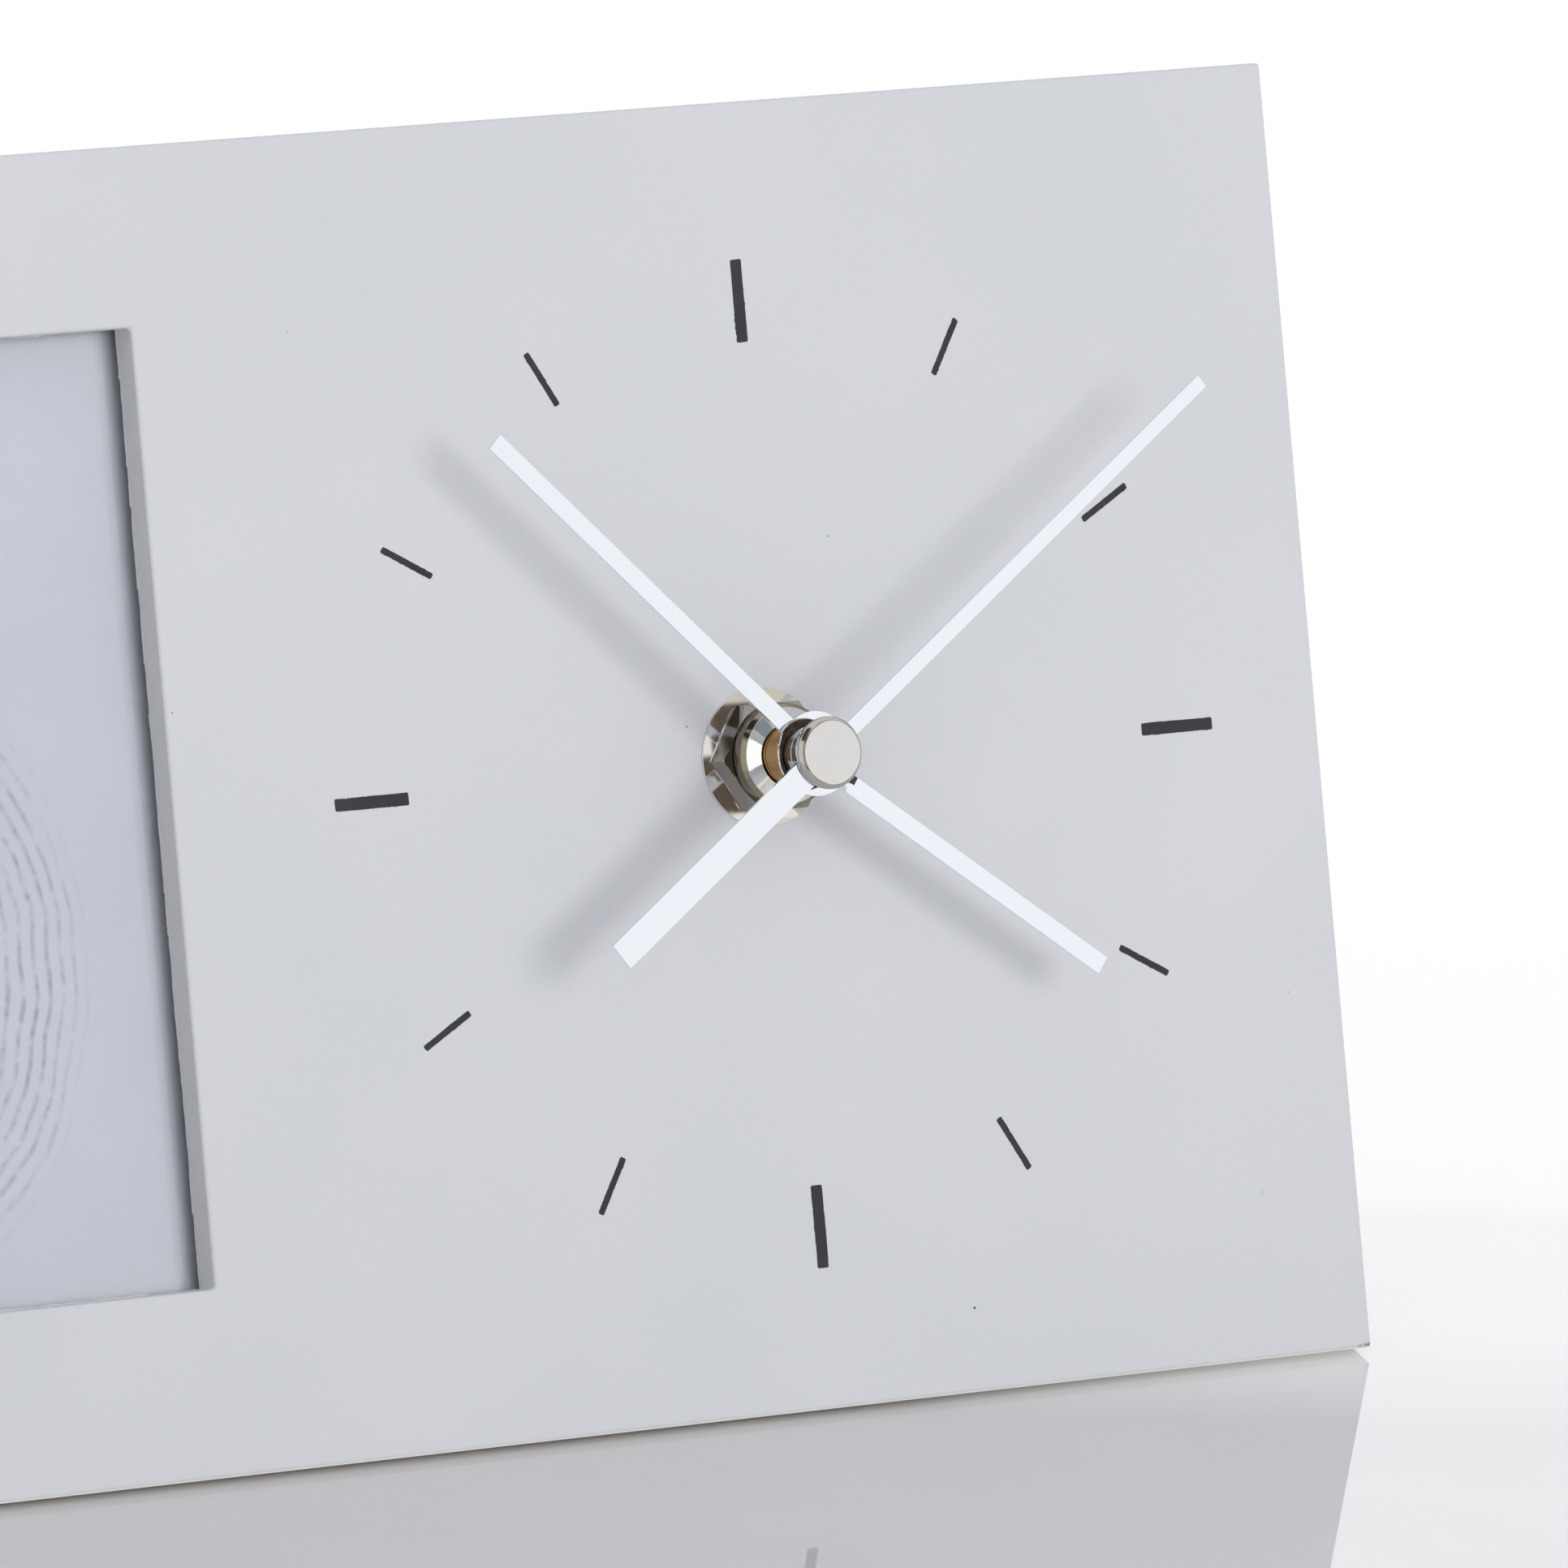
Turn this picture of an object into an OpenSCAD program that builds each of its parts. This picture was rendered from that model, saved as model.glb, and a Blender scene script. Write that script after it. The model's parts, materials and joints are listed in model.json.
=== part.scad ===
// Photo frame clock: a painted board that leans back on a folding strut, with a photo window on the left
// and a quartz clock on the right. Lengths are in millimetres.
// The pieces are drawn on an upright board: X to the right, Z up the board, Y from the front face to the back.
// stand() then leans the whole board back, so that its lower rear edge and the strut's pad meet the table.

/* [Board] */
// Width of the front board
board_w = 286; // [270:1:320]
// Height of the front board
board_h = 175; // [168:1:200]
// Thickness of the front board
board_t = 4.5; // [4:0.1:6]
// Angle that the board leans back from upright
lean = 14; // [11:0.5:17]

/* [Photo window] */
// Width of the window
window_w = 86; // [70:1:88]
// Height of the window
window_h = 126.4; // [100:0.2:128]
// Board left of the window
window_left = 24.3; // [21:0.1:30]
// Board above the window
window_top = 23.8; // [21:0.1:26]
// Width of the glass, the print and the backing
photo_w = 90; // [89:0.5:92]
// Height of the glass, the print and the backing
photo_h = 130; // [129:0.5:132]
// Thickness of the glass
glass_t = 2; // [1.5:0.1:3]
// Thickness of the print
print_t = 0.3; // [0.2:0.05:0.5]
// Thickness of the backing board
backing_t = 2.5; // [2:0.1:3.5]
// Wall of the rim that holds the glass
rim_wall = 7; // [6:0.5:8]

/* [Turn buttons] */
// Height of each pair of turn buttons above and below the window's centre
button_spread = 38; // [20:1:50]
// Reach of a turn button from its screw
button_reach = 12; // [9:0.5:15]
// Width of a turn button
button_w = 7; // [6:0.5:9]
// Thickness of a turn button
button_t = 1; // [0.8:0.1:1.5]

/* [Strut] */
// Room on each side of the hinge, to the photo rim and to the clock's case
strut_clear = 5; // [4:0.5:10]
// Hinge pin below the board's top edge
hinge_down = 25; // [23:0.5:35]
// Angle of the leg from upright when it stands open
leg_tilt = 12; // [8:0.5:14]
// Width of the leg at its foot
foot_w = 26; // [20:1:30]
// Thickness of the leg's plate
leg_t = 2; // [1.5:0.1:2.5]
// Thickness of the hinge bracket's plate
bracket_t = 1.5; // [1.2:0.1:2]
// Radius of the hinge pin
pin_r = 1.5; // [1.2:0.1:1.8]
// Height of the rubber pad
pad_h = 9; // [7:0.5:12]
// Depth of the rubber pad
pad_d = 8; // [6:0.5:12]

/* [Dial] */
// Shaft's distance from the board's right edge
shaft_in = 86.6; // [84:0.2:92]
// Radius of the circle through the hour marks' middles
mark_ring_r = 62; // [52:0.5:64]
// Length of the four long marks
long_mark = 11.1; // [8:0.5:14]
// Width of the four long marks
long_mark_w = 1.7; // [1:0.1:2.5]
// Length of the eight short marks
short_mark = 8.3; // [6:0.2:10]
// Width of the eight short marks
short_mark_w = 0.9; // [0.6:0.05:1.5]
// Thickness of the printed marks
ink_t = 0.1; // [0.05:0.05:0.3]
// The printed ring lies this far right of the shaft
ring_right = 2.4; // [-3:0.1:3]
// The printed ring lies this far below the shaft
ring_below = 1.1; // [-3:0.1:3]

/* [Shaft and nut] */
// Radius of the threaded bush
bush_r = 4; // [3.8:0.05:4.5]
// Reach of the threaded bush in front of the board
bush_out = 13.9; // [12.5:0.1:18]
// Radius of the washer on the dial
washer_r = 9.4; // [8.8:0.1:12]
// Thickness of the washer on the dial
washer_t = 0.7; // [0.5:0.1:1.2]
// Width of the nut across its flats
nut_flats = 14.3; // [13:0.1:15]
// Front of the nut's hexagon, from the dial
hex_out = 4.3; // [3.5:0.1:5]
// Radius of the nut's round shoulder
shoulder_r = 7; // [6:0.1:7.1]
// Front of the nut's round shoulder, from the dial
shoulder_out = 6.9; // [6:0.1:9.5]

/* [Hands] */
// Thickness of the hands' plate
hand_t = 0.5; // [0.4:0.05:0.8]
// Radius of the hour hand's hub
hour_hub_r = 5.65; // [5:0.05:6.5]
// Reach of the hour hand
hour_reach = 63; // [50:1:70]
// Reach of the hour hand's tail
hour_tail = 53; // [30:1:58]
// Width of the hour hand
hour_w = 2.45; // [2:0.05:4]
// Width of the hour hand's tail
hour_tail_w = 2.55; // [2:0.05:4]
// Distance that the hour hand's tail is bent towards the dial
tail_drop = 2; // [0.5:0.1:3]
// Clock angle of the hour hand
hour_angle = 315.3; // [0:0.1:360]
// Clock angle of the hour hand's tail
hour_tail_angle = 127; // [0:0.1:360]
// Gap between the hour hand and the minute hand
hand_gap = 2.6; // [2.2:0.1:3.5]
// Radius of the hour hand's collar
collar_r = 3.9; // [3.2:0.1:4.6]
// Radius of the minute hand's hub
minute_hub_r = 4.7; // [4.2:0.05:6]
// Reach of the minute hand
minute_reach = 77.1; // [60:0.5:80]
// Reach of the minute hand's tail
minute_tail = 41.6; // [20:0.5:50]
// Width of the minute hand at its hub
minute_w = 2.1; // [1.6:0.05:3]
// Width of the minute hand at its tip
minute_tip_w = 1.9; // [1.2:0.05:3]
// Width of the minute hand's tail
minute_tail_w = 3.9; // [2:0.1:5]
// Clock angle of the minute hand
minute_angle = 54.3; // [0:0.1:360]
// Radius of the cap nut
cap_r = 4.85; // [4:0.05:6]
// Thickness of the cap nut
cap_t = 1.15; // [1:0.05:2]

/* [Movement] */
// Side of the square quartz movement
case_side = 56; // [55.6:0.2:57]
// Depth of the movement's case
case_d = 16.5; // [16.4:0.1:18]
// Wall of the movement's case
case_wall = 1.2; // [1:0.1:1.4]
// Case above the shaft
case_above = 20; // [19.6:0.2:20.4]
// Thickness of the rubber washer between the case and the board
seal_t = 1; // [0.6:0.1:2]
// Radius of the hour pipe
hour_pipe_r = 2.5; // [2.4:0.05:2.8]
// Radius of the minute arbor
minute_arbor_r = 1.6; // [1.4:0.05:1.8]
// Radius of the seconds arbor
seconds_arbor_r = 0.5; // [0.4:0.05:0.6]
// Radius of the battery
battery_r = 7.25; // [7.1:0.05:7.3]
// Length of the battery's can
battery_len = 49.3; // [48.5:0.1:49.6]
// Radius of the setting knob
knob_r = 5.5; // [4.5:0.1:6.5]
// Thickness of the setting knob
knob_t = 2.6; // [2:0.1:4]

/* [Hidden] */
$fn = 64;

// Fits
run = 0.05; // radial play of a piece that turns on another
slip = 0.3; // play of a pane or a cell in its pocket
touch = 0.05; // gap where a moving face rests on another
cut = 1; // extra length of a cutting shape

// Colours
paint = [0.81, 0.83, 0.86];
ink = [0.24, 0.24, 0.26];
satin = [0.92, 0.93, 0.94];
nickel = [0.78, 0.77, 0.74];
brass = [0.70, 0.58, 0.36];
steel = [0.70, 0.71, 0.72];
black_plastic = [0.10, 0.10, 0.11];
grey_plastic = [0.35, 0.36, 0.38];
white_plastic = [0.88, 0.88, 0.85];
rubber = [0.07, 0.07, 0.08];

// Where the board stands
lift = board_t * sin(lean);
shaft_x = board_w / 2 - shaft_in;
shaft_z = board_h / 2;
window_x = -board_w / 2 + window_left + window_w / 2;
window_z = board_h - window_top - window_h / 2;
back = board_t;

// The photo's stack, front to back
glass_y = back;
print_y = glass_y + glass_t;
backing_y = print_y + print_t;
rim_back = backing_y + backing_t + touch;
rim_w = photo_w + 2 * slip + 2 * rim_wall;
rim_h = photo_h + 2 * slip + 2 * rim_wall;
button_x = photo_w / 2 + slip + rim_wall / 2;
button_y = rim_back + touch;
button_screw_r = 1.25;
button_head_r = 2.4;
button_head_t = 1.1;
rim_screw_r = 1.4;
rim_screw_head_r = 2.6;
rim_screw_in = 3;

// The strut, midway between the photo rim and the clock's case
ear_gap = 0.4;
ear_t = bracket_t;
axis_off = 5;
pin_head_r = pin_r + 0.9;
pin_head_t = 1;
strip_left = window_x + rim_w / 2;
strip_right = shaft_x - case_side / 2;
strut_x = (strip_left + strip_right) / 2;
leg_w = strip_right - strip_left - 2 * (strut_clear + pin_head_t + ear_t + ear_gap);
hinge_z = board_h - hinge_down;
hinge_y = back + bracket_t + axis_off;
barrel_r = pin_r + 1.5;
open_angle = lean + leg_tilt;
hinge_world_z = lift + hinge_z * cos(lean) - hinge_y * sin(lean);
hinge_world_y = hinge_y * cos(lean) + hinge_z * sin(lean);
leg_len = hinge_world_z / cos(leg_tilt);
heel = (axis_off - touch - leg_t / 2 * cos(open_angle)) / sin(open_angle);
bracket_w = leg_w + 2 * ear_gap + 2 * ear_t;
bracket_up = hinge_down - 3;
ear_r = axis_off + bracket_t / 2;
bracket_screw_r = 1.5;
bracket_screw_head_r = 2.8;
bracket_screw_in = 3;
bracket_screw_side = 7.9;
bracket_screw_down = 5;
bracket_screw_pitch = 8;
pad_sole = 3;

// The shaft and the hands, as distances in front of the dial
shaft_hole_r = bush_r + 0.15;
collar_out = bush_out + hand_t + hand_gap - 0.4;
minute_out = bush_out + hand_t + hand_gap;
cap_out = minute_out + hand_t + cap_t;
minute_arbor_out = minute_out + hand_t + cap_t / 2;
seconds_out = minute_out;
nut_cone = 0.25;
nut_sink = 0.3;
bend_start = hour_hub_r + 0.4;
bend_run = 1.4;
bend_lap = 0.3;

// The movement's case
case_y = back + seal_t;
case_back = case_y + case_d;
inside = case_y + case_wall;
lid_y = case_back - case_wall;
half = case_side / 2;
bay_z = -case_side + case_above + case_wall + battery_r + slip;
bay_wall_z = bay_z + battery_r + slip;
bay_top_z = bay_wall_z + case_wall;
battery_y = inside + 0.1 + battery_r;
nub_r = 2.75;
nub_len = 1;
contact_t = 0.3;

// Levels of the train, one layer behind the other; a pinion overlaps its wheel by face_over on both sides
air = 0.3;
layer_air = 0.5;
face_over = 0.1;
bush_flange_t = 0.8;
bush_flange_r = bush_r + 1.6;
hour_wheel_y = inside + bush_flange_t + air;
hour_wheel_t = 0.8;
motion_pinion_y = hour_wheel_y - face_over;
motion_wheel_y = hour_wheel_y + hour_wheel_t + layer_air;
motion_wheel_t = 0.6;
cannon_y = motion_wheel_y - face_over;
cannon_t = motion_wheel_t + 3 * face_over;
centre_wheel_y = cannon_y + cannon_t + layer_air;
centre_wheel_t = 0.6;
third_pinion_y = centre_wheel_y - 2 * face_over;
third_pinion_t = centre_wheel_t + 4 * face_over;
middle_y = centre_wheel_y + centre_wheel_t + air;
middle_t = 0.6;
third_wheel_y = middle_y + middle_t + layer_air;
third_wheel_t = 0.6;
second_pinion_y = third_wheel_y - face_over;
second_pinion_t = third_wheel_t + 2 * face_over;
second_wheel_y = third_wheel_y + third_wheel_t + layer_air;
second_wheel_t = 0.5;
fifth_pinion_y = second_wheel_y - face_over;
fifth_pinion_t = second_wheel_t + 2 * face_over;
fifth_wheel_y = second_wheel_y + second_wheel_t + layer_air;
fifth_wheel_t = 0.4;
rotor_pinion_y = fifth_wheel_y - face_over;
rotor_pinion_t = fifth_wheel_t + 2 * face_over;
stator_air = 1.3;
stator_y = fifth_wheel_y + fifth_wheel_t + stator_air;
stator_t = 1;
magnet_y = stator_y + face_over;
magnet_t = stator_t - 2 * face_over;
bridge_y = stator_y + stator_t;
bridge_t = 0.8;

// Teeth and centres of the train
hour_teeth = 40;
motion_pinion_teeth = 10;
hour_module = 0.24;
motion_teeth = 36;
cannon_teeth = 12;
motion_module = 0.25;
third_teeth = 64;
second_pinion_teeth = 8;
third_module = 0.2;
centre_teeth = 60;
third_pinion_teeth = 8;
second_teeth = 50;
fifth_pinion_teeth = 10;
fifth_teeth = 36;
rotor_teeth = 6;
fast_module = 0.22;
motion_dist = (motion_teeth + cannon_teeth) * motion_module / 2;
third_dist = (third_teeth + second_pinion_teeth) * third_module / 2;
centre_module = 2 * third_dist / (centre_teeth + third_pinion_teeth);
fifth_dist = (second_teeth + fifth_pinion_teeth) * fast_module / 2;
rotor_dist = (fifth_teeth + rotor_teeth) * fast_module / 2;
motion_dir = 90;
knob_dir = 45;
third_dir = 270;
fifth_dir = 0;
rotor_dir = 300;
motion_at = polar(motion_dist, motion_dir);
knob_at = motion_at + polar(motion_dist, knob_dir);
third_at = polar(third_dist, third_dir);
fifth_at = polar(fifth_dist, fifth_dir);
rotor_at = fifth_at + polar(rotor_dist, rotor_dir);
pivot_r = 0.35;
arbor_r = 0.5;
post_r = 1.5;
post_screw_r = 0.7;
post_left = 12.5;
post_right = 10;
post_low = 8.5;
post_high = 11;
plate_margin = 2;
posts = [
    [-post_left, -post_low + post_r], [-post_left, post_low],
    [post_right, -post_low], [post_left, post_high]
];

// The coil and the circuit board
magnet_r = 1.8;
stator_r = magnet_r + 0.4;
stator_ring_r = 3.5;
coil_z = 15.2;
coil_left = -22;
coil_right = -6;
bobbin_r = 2.4;
bobbin_wall = 0.8;
winding_r = 2.1;
core_w = 2.4;
core_end = 3;
yoke_w = 2;
yoke_top = coil_z - bobbin_r - 0.2;
board_x = 15.5;
pcb_w = 10;
pcb_h = 32;
pcb_z = 0.5;
pcb_y = inside + 1.2;
pcb_t = 1;
crystal_r = 1;
crystal_len = 6;
crystal_lead = 1.5;
crystal_in = 3;
crystal_down = 10;
chip_r = 2.6;
chip_up = 5;

// How far the front and the back reach from the board's lower front edge, so that the origin can lie midway
tail_low_z = shaft_z + minute_tail * cos(minute_angle + 180) - minute_tail_w / 2 * abs(sin(minute_angle));
tail_front = -(minute_out + hand_t) * cos(lean) + tail_low_z * sin(lean);
cap_front = -cap_out * cos(lean) + (shaft_z - cap_r) * sin(lean);
reach_front = min(0, tail_front, cap_front);
pad_back = hinge_world_y + pad_d / 2 * cos(leg_tilt) + (leg_len + pad_d / 2 * tan(leg_tilt)) * sin(leg_tilt);
reach_back = max(pad_back, board_t * cos(lean) + board_h * sin(lean));
middle_world_y = (reach_front + reach_back) / 2;

// A place at a distance and a clock angle from a centre, as [x, z]
function polar(dist, angle) = [dist * sin(angle), dist * cos(angle)];

// Tooth outline with flat flanks and room for backlash
function tooth_points(teeth, module_size) = [
    for (i = [0 : teeth - 1])
    for (p = [[-0.30, -1], [-0.11, 0.72], [0.11, 0.72], [0.30, -1]])
    let (a = (i + p[0]) * 360 / teeth, r = module_size * (teeth / 2 + p[1]))
    [r * sin(a), r * cos(a)]
];

module stand() {
    translate([0, -middle_world_y, lift]) rotate([-lean, 0, 0]) children();
}

module at(place) {
    translate([place[0], 0, place[1]]) children();
}

module on_shaft() {
    stand() at([shaft_x, shaft_z]) children();
}

module on_window() {
    stand() at([window_x, window_z]) children();
}

// A round bar along Y, from one depth to another
module bar(r, from, to) {
    translate([0, from, 0]) rotate([-90, 0, 0]) cylinder(r = r, h = to - from);
}

// A flat outline in X and Z, given a thickness along Y
module plate(from, to) {
    translate([0, to, 0]) rotate([90, 0, 0]) linear_extrude(to - from) children();
}

module box(x0, x1, y0, y1, z0, z1) {
    translate([x0, y0, z0]) cube([x1 - x0, y1 - y0, z1 - z0]);
}

// A wheel whose first tooth points at a clock angle
module gear(teeth, module_size, from, to, angle) {
    rotate([0, angle, 0]) plate(from, to) polygon(tooth_points(teeth, module_size));
}

// Half a tooth further round, so that a gap points where a tooth would
function gap_angle(angle, teeth) = angle + 180 + 180 / teeth;

// A countersunk screw that runs forward from a face at depth y
module countersunk(y, r, head_r, length) {
    depth = head_r - r;
    translate([0, y, 0]) rotate([90, 0, 0]) rotate_extrude()
        polygon([[0, 0], [head_r, 0], [r, depth], [r, length], [0, length]]);
}

module countersink(y, r, head_r) {
    depth = head_r - r;
    translate([0, y, 0]) rotate([90, 0, 0]) rotate_extrude()
        polygon([[0, -cut], [head_r, -cut], [head_r, 0], [r, depth], [0, depth]]);
}

module cross_slot(y, size) {
    box(-size, size, y - 0.5, y + cut, -0.25, 0.25);
    box(-0.25, 0.25, y - 0.5, y + cut, -size, size);
}

// The board
module rim_screw_places() {
    for (x = [-1, 1], z = [-1, 1])
        at([x * (rim_w / 2 - rim_wall / 2), z * (rim_h / 2 - rim_wall / 2)]) children();
}

module bracket_screw_places() {
    top = hinge_z + bracket_up - bracket_screw_down;
    for (x = [-1, 1], z = [top - bracket_screw_pitch, top])
        at([strut_x + x * (bracket_w / 2 - bracket_screw_side), z]) children();
}

module front_board() {
    color(paint) difference() {
        stand() box(-board_w / 2, board_w / 2, 0, board_t, 0, board_h);
        on_window() box(-window_w / 2, window_w / 2, -cut, board_t + cut, -window_h / 2, window_h / 2);
        on_shaft() bar(shaft_hole_r, -cut, board_t + cut);
        on_window() rim_screw_places() bar(rim_screw_r, board_t - rim_screw_in, board_t + cut);
        stand() bracket_screw_places() bar(bracket_screw_r, board_t - bracket_screw_in, board_t + cut);
    }
}

module hour_marks() {
    color(ink) on_shaft() at([ring_right, -ring_below]) for (i = [0 : 11]) {
        long = i % 3 == 0;
        length = long ? long_mark : short_mark;
        width = long ? long_mark_w : short_mark_w;
        rotate([0, 30 * i, 0])
            box(-width / 2, width / 2, -ink_t, 0, mark_ring_r - length / 2, mark_ring_r + length / 2);
    }
}

// The photo and what holds it
module photo_rim() {
    color(black_plastic) on_window() difference() {
        box(-rim_w / 2, rim_w / 2, back, rim_back, -rim_h / 2, rim_h / 2);
        box(-photo_w / 2 - slip, photo_w / 2 + slip, back - cut, rim_back + cut,
            -photo_h / 2 - slip, photo_h / 2 + slip);
        rim_screw_places() bar(rim_screw_r, back - cut, rim_back + cut);
        rim_screw_places() countersink(rim_back, rim_screw_r, rim_screw_head_r);
        for (x = [-1, 1], z = [-1, 1])
            at([x * button_x, z * button_spread]) bar(button_screw_r, back + 0.8, rim_back + cut);
    }
}

module rim_screws() {
    color(steel) on_window() rim_screw_places() difference() {
        countersunk(rim_back, rim_screw_r, rim_screw_head_r, rim_back - back + rim_screw_in);
        cross_slot(rim_back, 1.3);
    }
}

module pane(y, t) {
    on_window() box(-photo_w / 2, photo_w / 2, y, y + t, -photo_h / 2, photo_h / 2);
}

module window_glass() {
    color([0.85, 0.92, 0.95, 0.4]) pane(glass_y, glass_t);
}

module photo_print() {
    color([0.80, 0.80, 0.84]) pane(print_y, print_t);
}

module backing_board() {
    color([0.45, 0.33, 0.22]) pane(backing_y, backing_t);
}

// A turn button points over the backing: side is -1 on the left of the window and 1 on the right
module turn_button(side, level) {
    color(steel) on_window() at([side * button_x, level * button_spread]) difference() {
        plate(button_y, button_y + button_t) union() {
            circle(r = button_w / 2);
            translate([side > 0 ? -button_reach + button_w / 2 : 0, -button_w / 2])
                square([button_reach - button_w / 2, button_w]);
            translate([-side * (button_reach - button_w / 2), 0]) circle(r = button_w / 2);
        }
        bar(button_screw_r + run, button_y - cut, button_y + button_t + cut);
    }
}

module turn_button_upper_left() {
    turn_button(-1, 1);
}

module turn_button_upper_right() {
    turn_button(1, 1);
}

module turn_button_lower_left() {
    turn_button(-1, -1);
}

module turn_button_lower_right() {
    turn_button(1, -1);
}

module turn_button_screws() {
    head_y = button_y + button_t + touch;
    color(steel) on_window() for (x = [-1, 1], z = [-1, 1]) at([x * button_x, z * button_spread]) difference() {
        union() {
            bar(button_screw_r, back + 0.8, head_y);
            bar(button_head_r, head_y, head_y + button_head_t);
        }
        cross_slot(head_y + button_head_t, 1.3);
    }
}

// The strut
module on_hinge() {
    stand() translate([strut_x, hinge_y, hinge_z]) children();
}

// A round bar along X, centred on the hinge
module crossbar(r, length) {
    rotate([0, 90, 0]) cylinder(r = r, h = length, center = true);
}

module strut_bracket() {
    color(steel) difference() {
        on_hinge() union() {
            box(-bracket_w / 2, bracket_w / 2, -axis_off - bracket_t, -axis_off, -ear_r, bracket_up);
            for (side = [-1, 1]) translate([side * (bracket_w - ear_t) / 2, 0, 0]) {
                box(-ear_t / 2, ear_t / 2, -ear_r, 0, -ear_r, ear_r);
                crossbar(ear_r, ear_t);
            }
        }
        on_hinge() crossbar(pin_r, bracket_w + cut);
        stand() bracket_screw_places() bar(bracket_screw_r, back - cut, back + bracket_t + cut);
        stand() bracket_screw_places() countersink(back + bracket_t, bracket_screw_r, bracket_screw_head_r);
    }
}

module bracket_screws() {
    color(steel) stand() bracket_screw_places() difference() {
        countersunk(back + bracket_t, bracket_screw_r, bracket_screw_head_r, bracket_t + bracket_screw_in);
        cross_slot(back + bracket_t, 1.4);
    }
}

module strut_pin() {
    color(steel) on_hinge() {
        crossbar(pin_r, bracket_w);
        for (side = [-1, 1]) translate([side * (bracket_w + pin_head_t) / 2, 0, 0])
            crossbar(pin_head_r, pin_head_t);
    }
}

module strut_leg() {
    color(paint) on_hinge() rotate([open_angle, 0, 0]) difference() {
        union() {
            plate(-leg_t / 2, leg_t / 2) polygon([
                [-leg_w / 2, heel], [leg_w / 2, heel], [leg_w / 2, -barrel_r - 6],
                [foot_w / 2, -leg_len + pad_h + 4], [foot_w / 2, -leg_len + pad_sole],
                [-foot_w / 2, -leg_len + pad_sole], [-foot_w / 2, -leg_len + pad_h + 4],
                [-leg_w / 2, -barrel_r - 6]
            ]);
            crossbar(barrel_r, leg_w);
        }
        crossbar(pin_r + run, leg_w + cut);
    }
}

module strut_pad() {
    slope = tan(leg_tilt);
    half_d = pad_d / 2;
    color(rubber) on_hinge() rotate([open_angle, 0, 0]) difference() {
        rotate([90, 0, 90]) linear_extrude(foot_w + 2 * pad_sole, center = true) polygon([
            [-half_d, -leg_len + half_d * slope], [half_d, -leg_len - half_d * slope],
            [half_d - 1, -leg_len + pad_h], [-half_d + 1, -leg_len + pad_h]
        ]);
        box(-foot_w / 2, foot_w / 2, -leg_t / 2, leg_t / 2, -leg_len + pad_sole, -leg_len + pad_h + cut);
    }
}

// The shaft, from the board outwards
module rubber_washer() {
    color(rubber) on_shaft() difference() {
        bar(washer_r + 1, back, case_y);
        bar(shaft_hole_r, back - cut, case_y + cut);
    }
}

module dial_washer() {
    bevel = washer_t / 2;
    color(nickel) on_shaft() rotate([90, 0, 0]) rotate_extrude() polygon([
        [shaft_hole_r, 0], [washer_r, 0], [washer_r, washer_t - bevel],
        [washer_r - bevel, washer_t], [shaft_hole_r, washer_t]
    ]);
}

module shaft_nut() {
    corner_r = nut_flats / 2 / cos(30);
    bevel = corner_r - nut_flats / 2;
    edge = 0.6;
    color(nickel) on_shaft() rotate([90, 0, 0]) difference() {
        union() {
            intersection() {
                translate([0, 0, washer_t]) cylinder(r = corner_r, h = hex_out - washer_t, $fn = 6);
                rotate_extrude() polygon([
                    [0, washer_t], [nut_flats / 2, washer_t], [corner_r, washer_t + bevel * 0.6],
                    [corner_r, hex_out - bevel * 0.6], [nut_flats / 2, hex_out], [0, hex_out]
                ]);
            }
            rotate_extrude() polygon([
                [0, hex_out - 1], [shoulder_r, hex_out - 1], [shoulder_r, shoulder_out - edge],
                [shoulder_r - edge, shoulder_out], [bush_r + nut_sink, shoulder_out + nut_cone],
                [bush_r, shoulder_out + nut_cone - nut_sink], [0, shoulder_out + nut_cone - nut_sink]
            ]);
        }
        translate([0, 0, washer_t - cut])
            cylinder(r = bush_r + run, h = shoulder_out + nut_cone - washer_t + 2 * cut);
    }
}

module threaded_bush() {
    color(brass) on_shaft() difference() {
        union() {
            bar(bush_r, -bush_out + touch, inside + bush_flange_t);
            bar(bush_flange_r, inside, inside + bush_flange_t);
        }
        bar(hour_pipe_r + run, -bush_out - cut, inside + bush_flange_t + cut);
    }
}

// The movement's case
module movement_base() {
    floor_z = -case_side + case_above;
    color(grey_plastic) on_shaft() difference() {
        union() {
            difference() {
                box(-half, half, case_y, lid_y, floor_z, case_above);
                box(-half + case_wall, half - case_wall, inside, lid_y + cut, bay_top_z, case_above - case_wall);
                box(-half + case_wall, half - case_wall, inside, lid_y + cut, floor_z + case_wall, bay_wall_z);
            }
            at(motion_at) bar(arbor_r, inside, motion_wheel_y + motion_wheel_t + 0.2);
            at(third_at) bar(pivot_r + 0.6, inside, inside + 1);
            at(knob_at) bar(arbor_r + 0.7, inside, inside + 1);
            for (p = posts) at(p) bar(post_r, inside, middle_y);
            for (z = [-1, 1]) at([board_x + pcb_w / 2, pcb_z + z * (pcb_h / 2 - 3)]) bar(post_r, inside, pcb_y);
        }
        bar(bush_r, case_y - cut, inside + cut);
        at(third_at) bar(pivot_r + run, inside + 0.2, inside + 1 + cut);
        at(knob_at) bar(arbor_r + run, inside + 0.2, inside + 1 + cut);
        for (p = posts) at(p) bar(post_screw_r, inside + 1, middle_y + cut);
    }
}

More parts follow.
